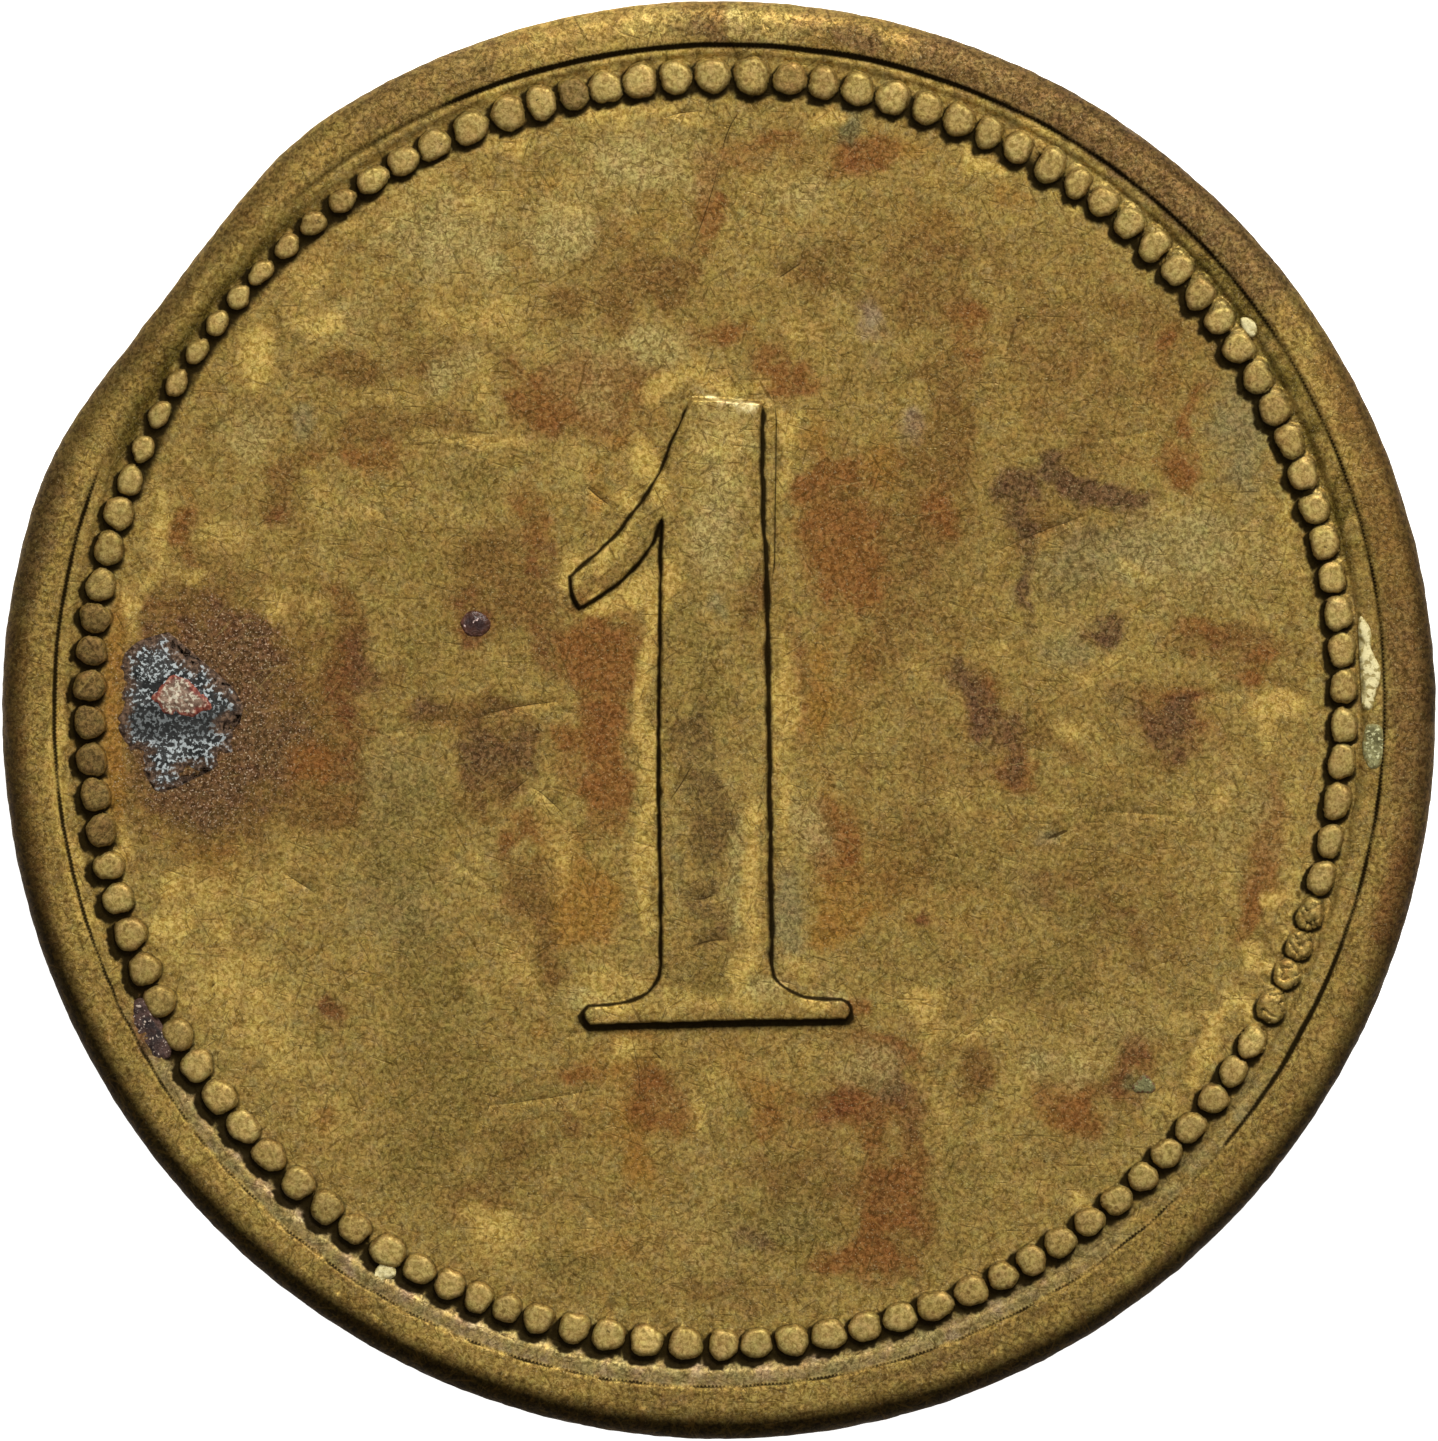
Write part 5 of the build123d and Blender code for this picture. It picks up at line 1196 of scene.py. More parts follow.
class Nodes:
    """A node material, built up from small steps."""

    def __init__(self, name):
        self.mat = bpy.data.materials.new(name)
        self.mat.use_nodes = True
        self.tree = self.mat.node_tree
        self.tree.nodes.clear()
        self.out = self.tree.nodes.new("ShaderNodeOutputMaterial")
        co = self.tree.nodes.new("ShaderNodeTexCoord")
        self.pos = self.scale(co.outputs["Object"], (1 / MM,) * 3)

    def link(self, value, socket):
        if isinstance(value, bpy.types.NodeSocket):
            self.tree.links.new(value, socket)
        else:
            socket.default_value = value

    def scale(self, vector, factor, turn=(0, 0, 0), shift=(0, 0, 0)):
        m = self.tree.nodes.new("ShaderNodeMapping")
        m.inputs["Scale"].default_value = factor
        m.inputs["Rotation"].default_value = turn
        m.inputs["Location"].default_value = shift
        self.tree.links.new(vector, m.inputs["Vector"])
        return m.outputs[0]

    def attr(self, name):
        a = self.tree.nodes.new("ShaderNodeAttribute")
        a.attribute_name = name
        return a.outputs["Fac"]

    def noise(self, scale, detail=2.0, rough=0.5, warp=0.0, vector=None):
        n = self.tree.nodes.new("ShaderNodeTexNoise")
        n.inputs["Scale"].default_value = scale
        n.inputs["Detail"].default_value = detail
        n.inputs["Roughness"].default_value = rough
        n.inputs["Distortion"].default_value = warp
        self.link(self.pos if vector is None else vector, n.inputs["Vector"])
        return n.outputs["Fac"]

    def cells(self, scale, feature="F1", jitter=1.0, vector=None, out="Distance"):
        n = self.tree.nodes.new("ShaderNodeTexVoronoi")
        n.feature = feature
        n.inputs["Scale"].default_value = scale
        n.inputs["Randomness"].default_value = jitter
        self.link(self.pos if vector is None else vector, n.inputs["Vector"])
        return n.outputs[out]

    def math(self, op, a, b=0.0, clamp=False):
        m = self.tree.nodes.new("ShaderNodeMath")
        m.operation = op
        m.use_clamp = clamp
        self.link(a, m.inputs[0])
        self.link(b, m.inputs[1])
        return m.outputs[0]

    def fit(self, v, lo, hi, to_lo=0.0, to_hi=1.0, smooth=True):
        m = self.tree.nodes.new("ShaderNodeMapRange")
        m.interpolation_type = "SMOOTHSTEP" if smooth else "LINEAR"
        self.link(v, m.inputs["Value"])
        for name, value in (("From Min", lo), ("From Max", hi), ("To Min", to_lo), ("To Max", to_hi)):
            self.link(value, m.inputs[name])
        return m.outputs[0]

    def mix(self, fac, a, b, blend="MIX"):
        m = self.tree.nodes.new("ShaderNodeMix")
        m.data_type = "RGBA"
        m.blend_type = blend
        m.clamp_factor = True
        self.link(fac, m.inputs[0])
        self.link(a, m.inputs[6])
        self.link(b, m.inputs[7])
        return m.outputs[2]

    def mixf(self, fac, a, b):
        m = self.tree.nodes.new("ShaderNodeMix")
        m.data_type = "FLOAT"
        m.clamp_factor = True
        self.link(fac, m.inputs[0])
        self.link(a, m.inputs[2])
        self.link(b, m.inputs[3])
        return m.outputs[0]

    def bump(self, height, distance, strength=1.0, normal=None):
        b = self.tree.nodes.new("ShaderNodeBump")
        b.inputs["Strength"].default_value = strength
        b.inputs["Distance"].default_value = distance
        self.link(height, b.inputs["Height"])
        if normal is not None:
            self.link(normal, b.inputs["Normal"])
        return b.outputs[0]

    def finish(self, color, rough, metal=0.0, normal=None, specular=0.5, tint=None):
        p = self.tree.nodes.new("ShaderNodeBsdfPrincipled")
        if tint is not None:
            p.inputs["Specular Tint"].default_value = tint
        self.link(color, p.inputs["Base Color"])
        self.link(rough, p.inputs["Roughness"])
        self.link(metal, p.inputs["Metallic"])
        self.link(specular, p.inputs["Specular IOR Level"])
        if normal is not None:
            self.link(normal, p.inputs["Normal"])
        self.tree.links.new(p.outputs[0], self.out.inputs["Surface"])
        return self.mat


def hairlines(n, turn, seed, scale=(0.55, 14.0), cut=(0.66, 0.72)):
    """Short thin dashes that run along one direction."""
    v = n.scale(n.pos, (1, 1, 1), (0, 0, math.radians(turn)), (seed, seed * 1.7, 0))
    v = n.scale(v, (scale[0], scale[1], 1.0))
    return n.fit(n.noise(1.0, 1.0, 0.5, 0.15, v), cut[0], cut[1])


def brass():
    n = Nodes("flan_brass")
    grain = n.noise(13.0, 4.0, 0.74, 0.5)  # from lumps of 0.1 mm down to single specks
    grit = n.noise(30.0, 2.0, 0.6)
    hue = n.noise(5.0, 5.0, 0.75)
    patch = n.noise(2.2, 6.0, 0.66, 0.9)
    broad = n.noise(0.75, 5.0, 0.60, 1.0)
    breakup = n.noise(6.0, 5.0, 0.75, 0.4)
    g = n.fit(grain, 0.26, 0.74)
    c = n.mix(g, rgb(94, 70, 27), rgb(184, 155, 92))
    c = n.mix(n.fit(hue, 0.50, 0.64, 0, 0.50), c, n.mix(g, rgb(98, 84, 50), rgb(172, 154, 112)))
    c = n.mix(n.fit(hue, 0.46, 0.34, 0, 0.45), c, n.mix(g, rgb(104, 74, 28), rgb(182, 142, 66)))
    c = n.mix(n.fit(patch, 0.50, 0.66, 0, 0.55), c, n.mix(g, rgb(80, 60, 26), rgb(146, 118, 64)))
    c = n.mix(n.fit(patch, 0.46, 0.32, 0, 0.55), c, n.mix(g, rgb(122, 98, 46), rgb(202, 172, 104)))
    c = n.mix(n.fit(broad, 0.46, 0.64, 0, 0.40), c, n.mix(g, rgb(88, 66, 28), rgb(158, 126, 70)))
    c = n.mix(n.fit(broad, 0.46, 0.30, 0, 0.35), c, n.mix(g, rgb(104, 88, 46), rgb(188, 164, 104)))
    # every speck of tarnish has a slightly different hue
    motley = n.tree.nodes.new("ShaderNodeTexNoise")
    motley.inputs["Scale"].default_value = 4.0
    motley.inputs["Detail"].default_value = 5.0
    motley.inputs["Roughness"].default_value = 0.75
    n.link(n.pos, motley.inputs["Vector"])
    # tarnish in its layers; each one is broken up by the grain
    amount = n.math("MULTIPLY", n.math("SUBTRACT", breakup, 0.5), 1.5)

    def layer(c, name, lo, hi, strength, colour, deep):
        m = n.attr(name)
        m2 = n.math("ADD", m, n.math("MULTIPLY", amount, n.math("MULTIPLY", m, 1.2)))
        f = n.math("MULTIPLY", n.fit(m2, lo, hi), strength)
        tint = n.mix(n.fit(grain, 0.37, 0.65), deep, colour)
        return n.mix(f, c, tint)

    c = layer(c, "grey", 0.02, 0.95, 0.80, rgb(160, 144, 104), rgb(98, 88, 60))
    c = layer(c, "lilac", 0.08, 0.95, 0.80, rgb(176, 154, 132), rgb(118, 98, 84))
    c = layer(c, "olive", 0.02, 0.95, 0.75, rgb(148, 124, 70), rgb(84, 68, 30))
    c = layer(c, "orange", 0.02, 0.95, 0.80, rgb(170, 122, 60), rgb(112, 76, 28))
    c = layer(c, "brown", 0.02, 0.90, 0.88, rgb(140, 104, 60), rgb(84, 58, 28))
    c = layer(c, "red", 0.02, 0.90, 0.92, rgb(150, 101, 58), rgb(94, 57, 27))
    c = layer(c, "maroon", 0.04, 0.92, 0.80, rgb(128, 74, 50), rgb(74, 36, 22))
    c = layer(c, "violet", 0.04, 0.90, 0.92, rgb(124, 92, 68), rgb(56, 38, 26))
    c = layer(c, "green", 0.08, 0.92, 0.70, rgb(122, 118, 84), rgb(66, 62, 38))
    c = layer(c, "moss", 0.08, 0.92, 0.85, rgb(116, 98, 44), rgb(54, 42, 10))
    c = layer(c, "khaki", 0.04, 0.92, 0.85, rgb(202, 182, 124), rgb(126, 106, 62))
    c = layer(c, "yellow", 0.08, 0.92, 0.85, rgb(222, 190, 116), rgb(160, 128, 60))
    # pale paints a highlight along the top edge of the figure
    c = layer(c, "pale", 0.06, 0.80, 0.95, rgb(250, 236, 196), rgb(214, 190, 136))
    rim = n.mix(n.fit(grain, 0.37, 0.65), rgb(84, 62, 26), rgb(176, 146, 82))
    rim = n.mix(n.fit(patch, 0.50, 0.66, 0, 0.75), rim, n.mix(g, rgb(74, 54, 30), rgb(132, 104, 66)))
    rim = n.mix(n.fit(patch, 0.47, 0.34, 0, 0.60), rim, n.mix(g, rgb(122, 100, 50), rgb(200, 174, 110)))
    worked = n.math("MAXIMUM", n.attr("yellow"), n.attr("brown"))
    worked = n.math("MAXIMUM", worked, n.attr("violet"))
    rimf = n.math("MULTIPLY", n.attr("rim"), n.math("SUBTRACT", 0.62, n.math("MULTIPLY", worked, 0.55)))
    c = n.mix(rimf, c, rim)
    # pinkish salt in the scorched ground round the scab
    salt = n.math("MULTIPLY", n.fit(n.noise(30.0, 1.0, 0.5), 0.60, 0.72), n.attr("scab"))
    c = n.mix(n.math("MULTIPLY", salt, 0.75), c, rgb(190, 162, 150))
    c = layer(c, "umber", 0.08, 0.90, 0.88, rgb(128, 100, 62), rgb(62, 46, 28))
    # pearls: rubbed pale tops, each with its own tone
    tone = n.attr("tone")
    pearl = n.attr("pearl")
    spots = n.cells(7.5)
    pc = n.mix(n.fit(grain, 0.36, 0.64), rgb(150, 126, 74), rgb(204, 178, 120))
    pc = n.mix(n.fit(tone, 0.0, 1.0, 0.0, 0.55, False), pc, n.mix(n.fit(grain, 0.36, 0.64), rgb(120, 96, 54), rgb(160, 134, 84)))
    pc = n.mix(n.math("MULTIPLY", n.fit(spots, 0.34, 0.16), n.fit(tone, 0.4, 1.0)), pc, rgb(112, 88, 50))
    umber = n.math("MAXIMUM", n.attr("umber"), n.math("MAXIMUM", n.attr("maroon"), n.attr("violet")))
    pf = n.math("MULTIPLY", n.math("MULTIPLY", pearl, 0.85), n.math("SUBTRACT", 1.0, n.math("MULTIPLY", umber, 0.9)))
    c = n.mix(pf, c, pc)
    gc = n.mix(n.fit(grain, 0.36, 0.64), rgb(120, 100, 58), rgb(184, 162, 108))
    c = n.mix(n.math("MULTIPLY", n.attr("ghost"), 0.6), c, gc)
    # painted shade on the shoulder, darkest at the bottom, away from the key light
    c = n.mix(n.fit(n.attr("dark"), 0.0, 0.85, 0.0, 0.985, False), c, n.mix(n.fit(grain, 0.37, 0.65), rgb(10, 6, 1), rgb(36, 25, 5)))
    # hairlines, dark and bright
    lines = None
    for turn, seed in ((18, 3.1), (63, 11.7), (-34, 23.9), (-72, 37.3), (2, 51.1)):
        h = hairlines(n, turn, seed, (1.6, 15.0), (0.68, 0.76))
        lines = h if lines is None else n.math("MAXIMUM", lines, h)
    # fine broken cracks in the tarnish
    bent = n.tree.nodes.new("ShaderNodeVectorMath")
    bent.operation = "MULTIPLY_ADD"
    wob = n.tree.nodes.new("ShaderNodeTexNoise")
    wob.inputs["Scale"].default_value = 3.0
    wob.inputs["Detail"].default_value = 3.0
    n.link(n.pos, wob.inputs["Vector"])
    n.link(wob.outputs["Color"], bent.inputs[0])
    bent.inputs[1].default_value = (0.35, 0.35, 0.0)
    n.link(n.pos, bent.inputs[2])
    web = n.fit(n.cells(3.1, "DISTANCE_TO_EDGE", vector=bent.outputs[0]), 0.055, 0.012)
    web = n.math("MULTIPLY", web, n.fit(n.noise(3.7, 2.0, 0.6), 0.52, 0.62))
    web2 = n.fit(n.cells(6.3, "DISTANCE_TO_EDGE", vector=bent.outputs[0]), 0.085, 0.02)
    web2 = n.math("MULTIPLY", web2, n.fit(n.noise(4.9, 2.0, 0.6), 0.54, 0.64))
    lines = n.math("MAXIMUM", lines, n.math("MAXIMUM", web, web2))
    lines = n.math("MULTIPLY", lines, n.math("SUBTRACT", 1.0, n.math("MULTIPLY", pearl, 0.8)))
    c = n.mix(n.math("MULTIPLY", lines, 0.48), c, rgb(66, 48, 18))
    light = None
    for turn, seed in ((40, 71.3), (-50, 83.9), (-12, 97.7)):
        h = hairlines(n, turn, seed, (1.3, 20.0), (0.69, 0.76))
        light = h if light is None else n.math("MAXIMUM", light, h)
    # bright hairlines and specks are kept off the painted shade and off the edge
    unshaded_off_edge = n.math("SUBTRACT", 1.0, n.attr("dark"), True)
    unshaded_off_edge = n.math("SUBTRACT", unshaded_off_edge, n.math("MULTIPLY", n.attr("edge"), 0.8), True)
    c = n.mix(n.math("MULTIPLY", n.math("MULTIPLY", light, unshaded_off_edge), 0.16), c, rgb(206, 178, 116))
    # pits
    pits = n.fit(n.noise(5.5, 2.0, 0.7), 0.70, 0.76)
    c = n.mix(n.math("MULTIPLY", pits, 0.70), c, rgb(52, 36, 16))
    bare = n.math("SUBTRACT", 1.0, n.math("MULTIPLY", pearl, 0.75))
    c = n.mix(n.math("MULTIPLY", n.math("MULTIPLY", n.math("MULTIPLY", n.fit(grit, 0.60, 0.72), 0.30), bare), unshaded_off_edge), c, rgb(222, 204, 164))
    c = n.mix(n.math("MULTIPLY", n.math("MULTIPLY", n.fit(grit, 0.40, 0.28), 0.36), bare), c, rgb(50, 40, 22))
    c = n.mix(0.20, c, motley.outputs["Color"], "OVERLAY")
    # painted shade and grime in the corners: the pearls' shadows, the shaded foot of the rim wall, the shade and shadow
    # round the figure, and darker cracks and nicks
    shade_and_grime_mix = n.math("ADD", n.attr("shade_and_grime"), n.math("MULTIPLY", amount, 0.20))
    c = n.mix(n.fit(shade_and_grime_mix, 0.20, 0.78, 0, 0.975), c, rgb(22, 15, 5))
    c = n.mix(n.fit(n.attr("scratch"), 0.05, 0.7, 0, 0.85), c, rgb(54, 38, 18))
    # less metal where the tarnish is thick, and where shade is painted on the shoulder and in the corners
    tarnish_and_shade = n.math("MAXIMUM", n.math("MAXIMUM", n.attr("violet"), n.attr("dark")), n.math("MAXIMUM", n.attr("red"), n.attr("shade_and_grime")))
    metal = n.fit(tarnish_and_shade, 0.0, 1.0, 0.62, 0.20, False)
    rough = n.math("ADD", n.fit(grain, 0.3, 0.7, 0.58, 0.44), n.math("MULTIPLY", tarnish_and_shade, 0.14))
    rough = n.math("ADD", rough, n.math("MULTIPLY", pearl, 0.10))
    height = n.math("ADD", n.math("MULTIPLY", grain, 1.0), n.math("MULTIPLY", grit, 0.6))
    height = n.math("SUBTRACT", height, n.math("MULTIPLY", lines, 0.4))
    normal = n.bump(height, 5.0e-6)
    c = n.mix(1.0, c, (0.98, 0.98, 0.82, 1), "MULTIPLY")
    spec = n.fit(tarnish_and_shade, 0.0, 1.0, 0.35, 0.05, False)
    return n.finish(c, rough, metal, normal, spec, (0.75, 0.56, 0.26, 1))


def crumbly(
    name, light, dark, mid, scale, share=0.3, rough=0.85, edge=None, edge_width=0.4, ring=None, depth=1.6e-5,
    gloom=None, warm=(0.98, 0.95, 0.80, 1),
):  # fmt: skip
    """Mineral grains: pale specks on a darker ground, and another colour towards the edge."""
    n = Nodes(name)
    speck = n.noise(scale, 2.0, 0.6, 0.2)
    fine = n.noise(scale * 2.1, 2.0, 0.6)
    lump = n.noise(scale * 0.16, 3.0, 0.6)
    c = n.mix(n.fit(lump, 0.36, 0.62), dark, mid)
    c = n.mix(n.fit(fine, 0.52, 0.34, 0, 0.65), c, dark)
    pale = n.fit(speck, 0.66 - 0.34 * share, 0.74 - 0.34 * share)
    if gloom is not None:  # darker hollows, at a height across the lump
        sep = n.tree.nodes.new("ShaderNodeSeparateXYZ")
        n.link(n.pos, sep.inputs[0])
        off = n.math("ABSOLUTE", n.math("SUBTRACT", n.math("ADD", sep.outputs[1], n.math("MULTIPLY", lump, 0.9)), gloom))
        low = n.fit(off, 0.42, 0.12)
        pale = n.math("MULTIPLY", pale, n.math("SUBTRACT", 1.0, n.math("MULTIPLY", low, 0.72)))
        c = n.mix(n.math("MULTIPLY", low, 0.8), c, dark)
    c = n.mix(pale, c, light)
    depth_in = n.math("ADD", n.attr("depth"), n.math("MULTIPLY", n.math("SUBTRACT", n.noise(scale * 0.5, 3.0, 0.7), 0.5), 0.9))
    if ring is not None:
        c = n.mix(n.fit(depth_in, edge_width, edge_width * 0.35, 0, 0.85), c, n.mix(n.fit(fine, 0.4, 0.6), ring, light))
    if edge is not None:
        low, high = edge if isinstance(edge[0], tuple) else (edge, mid)
        c = n.mix(n.fit(depth_in, edge_width, edge_width * 0.3), c, n.mix(n.fit(speck, 0.35, 0.66), low, high))
    c = n.mix(1.0, c, warm, "MULTIPLY")
    normal = n.bump(n.math("ADD", speck, n.math("MULTIPLY", fine, 0.6)), depth)
    return n.finish(c, rough, 0.0, normal, 0.35)


# ------------------------------------------------------------------ deposits


def polar(deg, r):
    return (r * math.cos(math.radians(deg)), r * math.sin(math.radians(deg)))


def closed_curve(points, each):
    p = np.array(points, float)
    n = len(p)
    out = []
    for i in range(n):
        a, b, c, d = p[i - 1], p[i], p[(i + 1) % n], p[(i + 2) % n]
        k = max(2, int(np.hypot(*(c - b)) / each))
        t = np.linspace(0, 1, k, endpoint=False)[:, None]
        out.append(0.5 * (2 * b + (c - a) * t + (2 * a - 5 * b + 4 * c - d) * t**2 + (3 * b - a - 3 * c + d) * t**3))
    out = np.vstack(out)
    area = 0.5 * np.sum(out[:, 0] * np.roll(out[:, 1], -1) - np.roll(out[:, 0], -1) * out[:, 1])
    return out if area > 0 else out[::-1]


def new_object(name, verts, polys, data=None, smooth=True):
    me = bpy.data.meshes.new(name)
    me.from_pydata([tuple(v) for v in np.asarray(verts, float) * MM], [], polys)
    me.update()
    if smooth:
        me.polygons.foreach_set("use_smooth", [True] * len(me.polygons))
    for key, values in (data or {}).items():
        layer = me.attributes.new(key, "FLOAT", "POINT")
        layer.data.foreach_set("value", np.asarray(values, np.float32))
    ob = bpy.data.objects.new(name, me)
    bpy.context.scene.collection.objects.link(ob)
    return ob


def deposit(node, points, mat, each, seed, rag=0.03, lumps=0.5, lump_size=0.12, crown=0.5, power=0.5, sink=0.03, lift=None, hole=None):
    """A crusty lump over the CAD piece of that name: closed, ragged, sunk a little into what it sits on."""
    lo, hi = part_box(node)
    z0, z1 = lo.z / MM, hi.z / MM
    loop = closed_curve(points, each)
    t = np.roll(loop, -1, 0) - np.roll(loop, 1, 0)
    nrm = np.stack([t[:, 1], -t[:, 0]], 1)
    nrm /= np.linalg.norm(nrm, axis=1)[:, None]
    loop = loop + nrm * (rag * fbm(loop[:, 0], loop[:, 1], 0.30, 3, seed))[:, None]
    x0, y0 = loop.min(0)
    x1, y1 = loop.max(0)
    rng = np.random.default_rng(seed)
    gx, gy = np.meshgrid(np.arange(x0, x1, each), np.arange(y0, y1, each))
    g = np.stack([gx.ravel(), gy.ravel()], 1) + rng.uniform(-0.3, 0.3, (gx.size, 2)) * each
    d = inside_distance(g[:, 0], g[:, 1], loop)
    g = g[d > each * 0.6]
    xy, tris, ring = triangulate(g, loop)
    d = np.clip(inside_distance(xy[:, 0], xy[:, 1], loop), 0, None)
    wide = max(d.max(), 1e-6)
    rise = np.clip(d / (wide * crown), 0, 1)
    rise = (1 - (1 - rise) ** 2) ** power
    body = 0.72 + 0.28 * lumps * fbm(xy[:, 0], xy[:, 1], lump_size * 2.2, 4, seed + 1)
    grains = 0.30 * lumps * np.abs(fbm(xy[:, 0], xy[:, 1], lump_size, 3, seed + 2))
    z = z0 + (z1 - z0) * np.clip(rise * (body - grains + 0.12), 0, 1.0)
    if lift is not None:
        z = z + lift(xy[:, 0], xy[:, 1])
    bottom = z0 - sink
    n = len(xy)
    verts = np.vstack([np.column_stack([xy, z]), np.column_stack([xy, np.full(n, bottom)])])
    polys = [tuple(int(i) for i in f) for f in tris]
    polys += [tuple(int(i) + n for i in f[::-1]) for f in tris]
    for p, q in zip(ring, np.roll(ring, -1), strict=True):
        polys.append((int(p) + n, int(q) + n, int(q), int(p)))
    ob = new_object(node.title().replace("_", ""), verts, polys, {"depth": np.concatenate([d, d]) / wide})
    ob.data.materials.append(mat)
    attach(ob, "root")
    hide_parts(node)
    return ob


GREY = crumbly(
    "grey_crust", rgb(178, 186, 190), rgb(22, 24, 24), rgb(66, 66, 66), 15.0, 0.44, 0.8,
    (rgb(50, 34, 22), rgb(112, 86, 66)), 0.24, gloom=0.42,
    warm=(0.96, 0.96, 0.92, 1),
)  # fmt: skip
RED = crumbly(
    "red_oxide", rgb(196, 188, 178), rgb(86, 60, 50), rgb(146, 122, 110), 13.0, 0.45, 0.6,
    (rgb(96, 34, 26), rgb(156, 84, 70)), 0.42,
)  # fmt: skip
VIOLET = crumbly("violet_oxide", rgb(226, 200, 206), rgb(44, 22, 20), rgb(96, 62, 54), 13.0, 0.10, 0.35, rgb(60, 34, 22), 0.5)
VCRUST = crumbly("violet_crust", rgb(186, 170, 166), rgb(30, 18, 18), rgb(86, 62, 58), 17.0, 0.22, 0.7, rgb(52, 32, 22), 0.35)
GREEN = crumbly("green_corrosion", rgb(168, 172, 130), rgb(66, 60, 34), rgb(122, 120, 82), 15.0, 0.20, 0.8, rgb(100, 64, 40), 0.45)
PALE = crumbly("pale_green_deposit", rgb(196, 196, 158), rgb(88, 84, 50), rgb(146, 144, 104), 11.0, 0.40, 0.8, rgb(110, 98, 52), 0.35)
CREAM = crumbly("cream_residue", rgb(222, 212, 170), rgb(150, 134, 84), rgb(210, 200, 156), 9.0, 0.70, 0.7, rgb(150, 134, 78), 0.26)

DEPOSITS = [
    deposit("red_oxide_nodule",
            [(-9.50, 0.30), (-9.38, 0.58), (-9.12, 0.75), (-8.86, 0.66), (-8.62, 0.42),
             (-8.46, 0.16), (-8.68, 0.06), (-8.95, 0.02), (-9.25, 0.08)], RED, 0.022, 301, 0.05, 0.9, 0.10, 0.7),
    deposit("grey_mineral_crust",
            [(-9.97, 0.49), (-9.89, 1.07), (-9.52, 1.32), (-9.16, 1.34), (-9.00, 1.02), (-8.77, 0.93),
             (-8.44, 0.79), (-8.10, 0.49), (-8.03, 0.15), (-8.30, -0.16), (-8.16, -0.43), (-8.49, -0.68),
             (-8.92, -0.82), (-9.06, -1.10), (-9.39, -1.17), (-9.56, -0.85), (-9.70, -0.55),
             (-9.95, -0.34), (-9.98, 0.07)], GREY, 0.022, 302, 0.16, 1.0, 0.10, 0.35),
    deposit("violet_pimple",
            [(-4.35, 1.62), (-4.18, 1.80), (-3.96, 1.76), (-3.84, 1.58), (-3.95, 1.40), (-4.20, 1.40)],
            VIOLET, 0.018, 303, 0.02, 0.6, 0.08, 0.9),
    deposit("green_speck",
            [(6.91, -6.13), (6.99, -5.98), (7.17, -5.97), (7.27, -6.12), (7.20, -6.26), (7.00, -6.24)],
            GREEN, 0.016, 304, 0.06, 0.6, 0.07, 0.7),
    deposit("violet_channel_crust",
            [polar(205.6, 10.78), polar(206.6, 11.02), polar(208.6, 11.08), polar(210.8, 11.03),
             polar(211.6, 10.80), polar(210.2, 10.64), polar(208.2, 10.66), polar(206.4, 10.64)],
            VCRUST, 0.022, 305, 0.03, 0.8, 0.09, 0.6),
    deposit("cream_residue_upper",
            [polar(35.6, 10.98), polar(36.3, 11.10), polar(37.2, 11.08), polar(37.6, 10.96),
             polar(36.8, 10.88), polar(36.0, 10.88)], CREAM, 0.018, 306, 0.015, 0.4, 0.09, 0.8),
    deposit("cream_residue_side",
            [(10.70, 1.70), (10.84, 1.52), (10.87, 1.16), (10.97, 0.92), (11.00, 0.65), (10.93, 0.38),
             (10.83, 0.15), (10.70, 0.24), (10.74, 0.50), (10.72, 0.74), (10.68, 0.98), (10.71, 1.25),
             (10.65, 1.50)], CREAM, 0.018, 307, 0.03, 0.35, 0.10, 0.6),
    deposit("green_channel_deposit",
            [(10.75, -0.12), (10.90, -0.06), (11.06, -0.16), (11.09, -0.45), (11.02, -0.74),
             (10.86, -0.82), (10.75, -0.66), (10.73, -0.38)], PALE, 0.018, 308, 0.03, 0.8, 0.08, 0.7),
    deposit("cream_crumb",
            [(-5.78, -9.20), (-5.66, -9.10), (-5.48, -9.12), (-5.42, -9.27), (-5.56, -9.35),
             (-5.70, -9.42), (-5.80, -9.34)], CREAM, 0.016, 309, 0.04, 0.6, 0.08, 0.8),
]  # fmt: skip

# ------------------------------------------------------------------ the flan
verts, polys, data = build_flan()
flan = new_object("StruckFlan", verts, polys, data)
flan.data.materials.append(brass())
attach(flan, "root")
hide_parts("struck_flan")
print("flan triangles", sum(len(p) - 2 for p in polys), "vertices", len(verts))

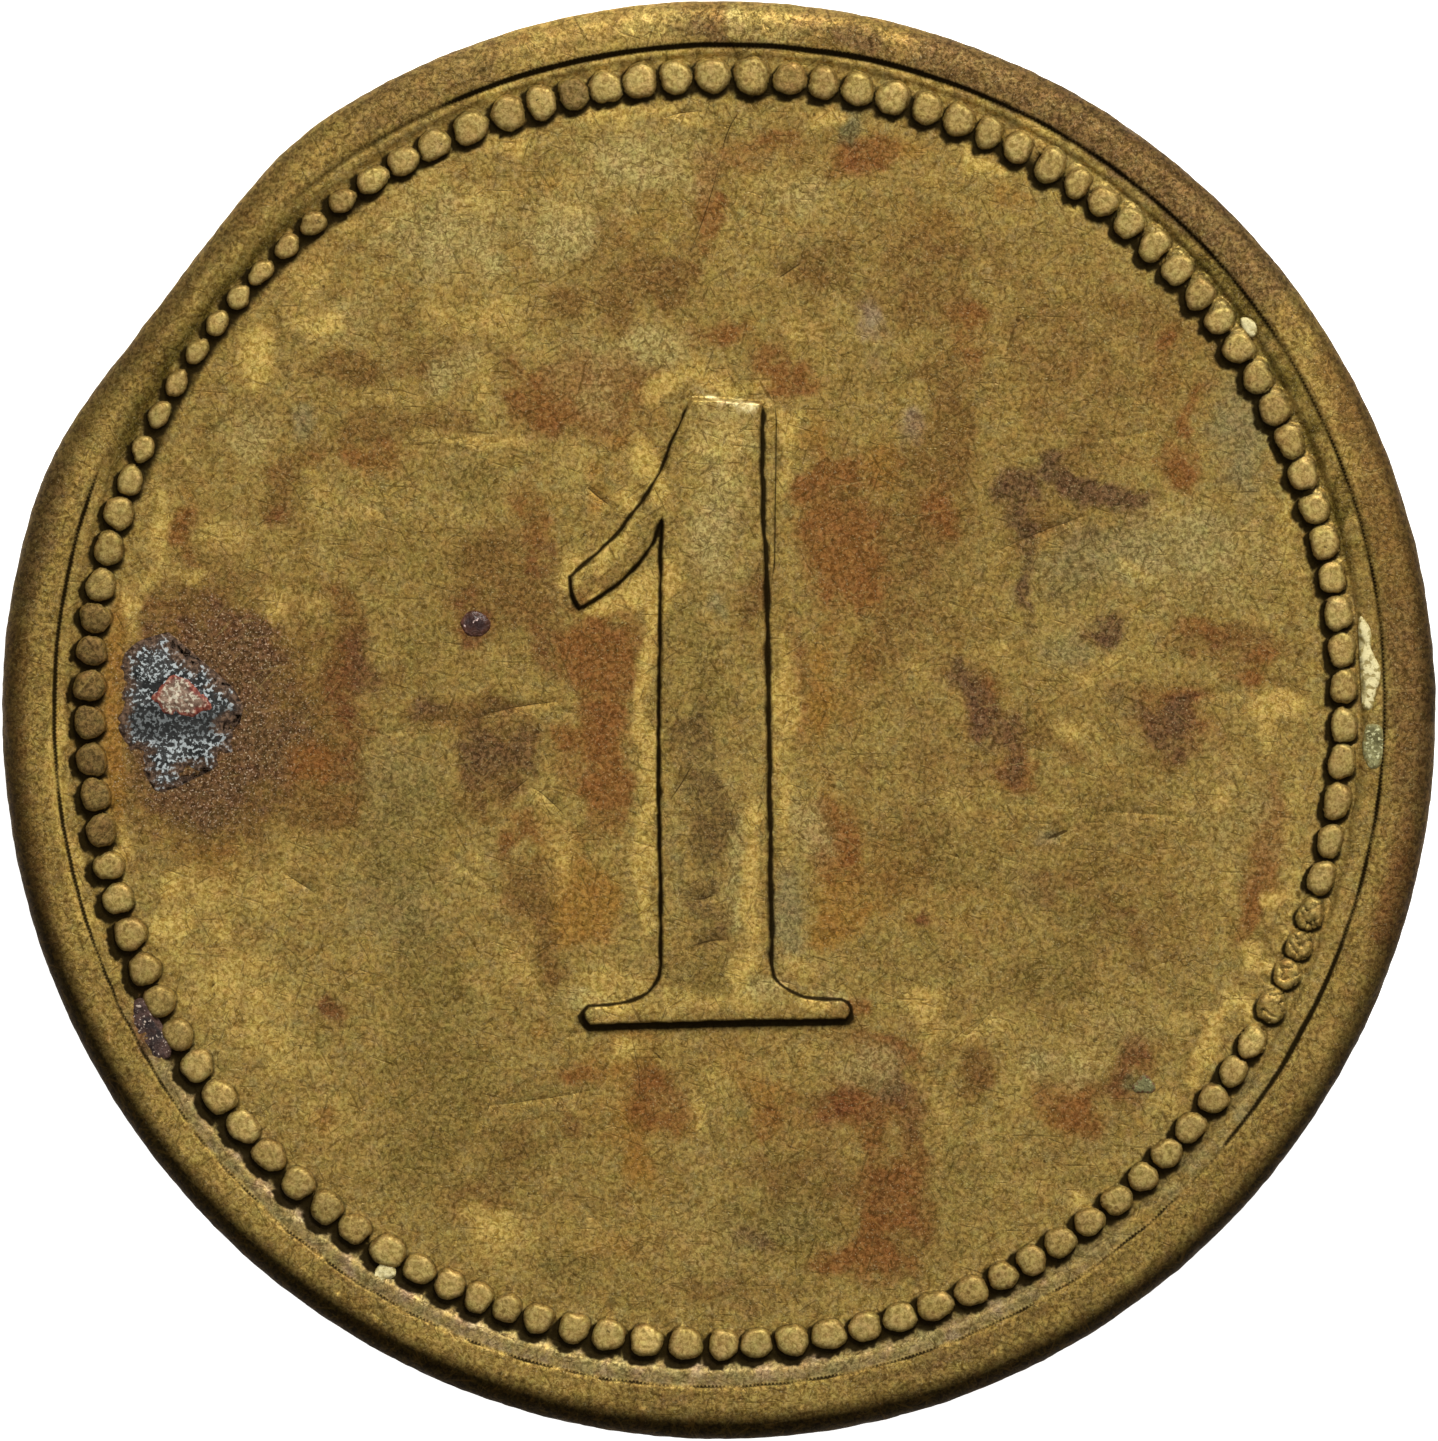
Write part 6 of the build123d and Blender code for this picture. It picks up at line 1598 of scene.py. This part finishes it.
# ------------------------------------------------------------------ floor, light, camera
n = Nodes("pale_floor")
p = n.tree.nodes.new("ShaderNodeBsdfPrincipled")
p.inputs["Base Color"].default_value = (0.93, 0.93, 0.92, 1)
p.inputs["Roughness"].default_value = 0.9
p.inputs["Specular IOR Level"].default_value = 0.0
p.inputs["Emission Color"].default_value = (1, 1, 0.985, 1)
p.inputs["Emission Strength"].default_value = 1.0
n.tree.links.new(p.outputs[0], n.out.inputs["Surface"])
bpy.ops.mesh.primitive_plane_add(size=0.6, location=(0, 0, -0.00001))
floor = bpy.context.object
floor.name = "Floor"
floor.data.materials.append(n.mat)

world = bpy.data.worlds.new("studio")
world.use_nodes = True
world.node_tree.nodes["Background"].inputs[0].default_value = (1.0, 0.985, 0.96, 1)
world.node_tree.nodes["Background"].inputs[1].default_value = 0.27
bpy.context.scene.world = world


def softbox(name, azimuth, elevation, distance, size, power, colour=(1, 1, 1)):
    """A square area light that looks at the token; azimuth is anticlockwise from +x."""
    a, e = math.radians(azimuth), math.radians(elevation)
    place = Vector((math.cos(a) * math.cos(e), math.sin(a) * math.cos(e), math.sin(e))) * distance
    lamp = bpy.data.lights.new(name, "AREA")
    lamp.shape, lamp.size, lamp.energy, lamp.color = "SQUARE", size, power, colour
    ob = bpy.data.objects.new(name, lamp)
    ob.location = place
    ob.rotation_mode = "QUATERNION"
    ob.rotation_quaternion = (-place).to_track_quat("-Z", "Y")
    bpy.context.scene.collection.objects.link(ob)
    return ob


softbox("key", 72, 38, 0.30, 0.10, 1.02, (1.0, 0.985, 0.95))
softbox("top", 100, 80, 0.35, 0.22, 0.22)

cam = bpy.data.cameras.new("camera")
cam.sensor_width = 36
cam.lens = 448.8
cam.clip_start, cam.clip_end = 0.01, 5
camera = bpy.data.objects.new("camera", cam)
camera.location = (-0.0226 * MM, -0.0213 * MM, 301.05 * MM)
camera.rotation_euler = (0, 0, 0)
bpy.context.scene.collection.objects.link(camera)
bpy.context.scene.camera = camera
bpy.context.scene.view_settings.view_transform = "Standard"
bpy.context.scene.view_settings.look = "None"
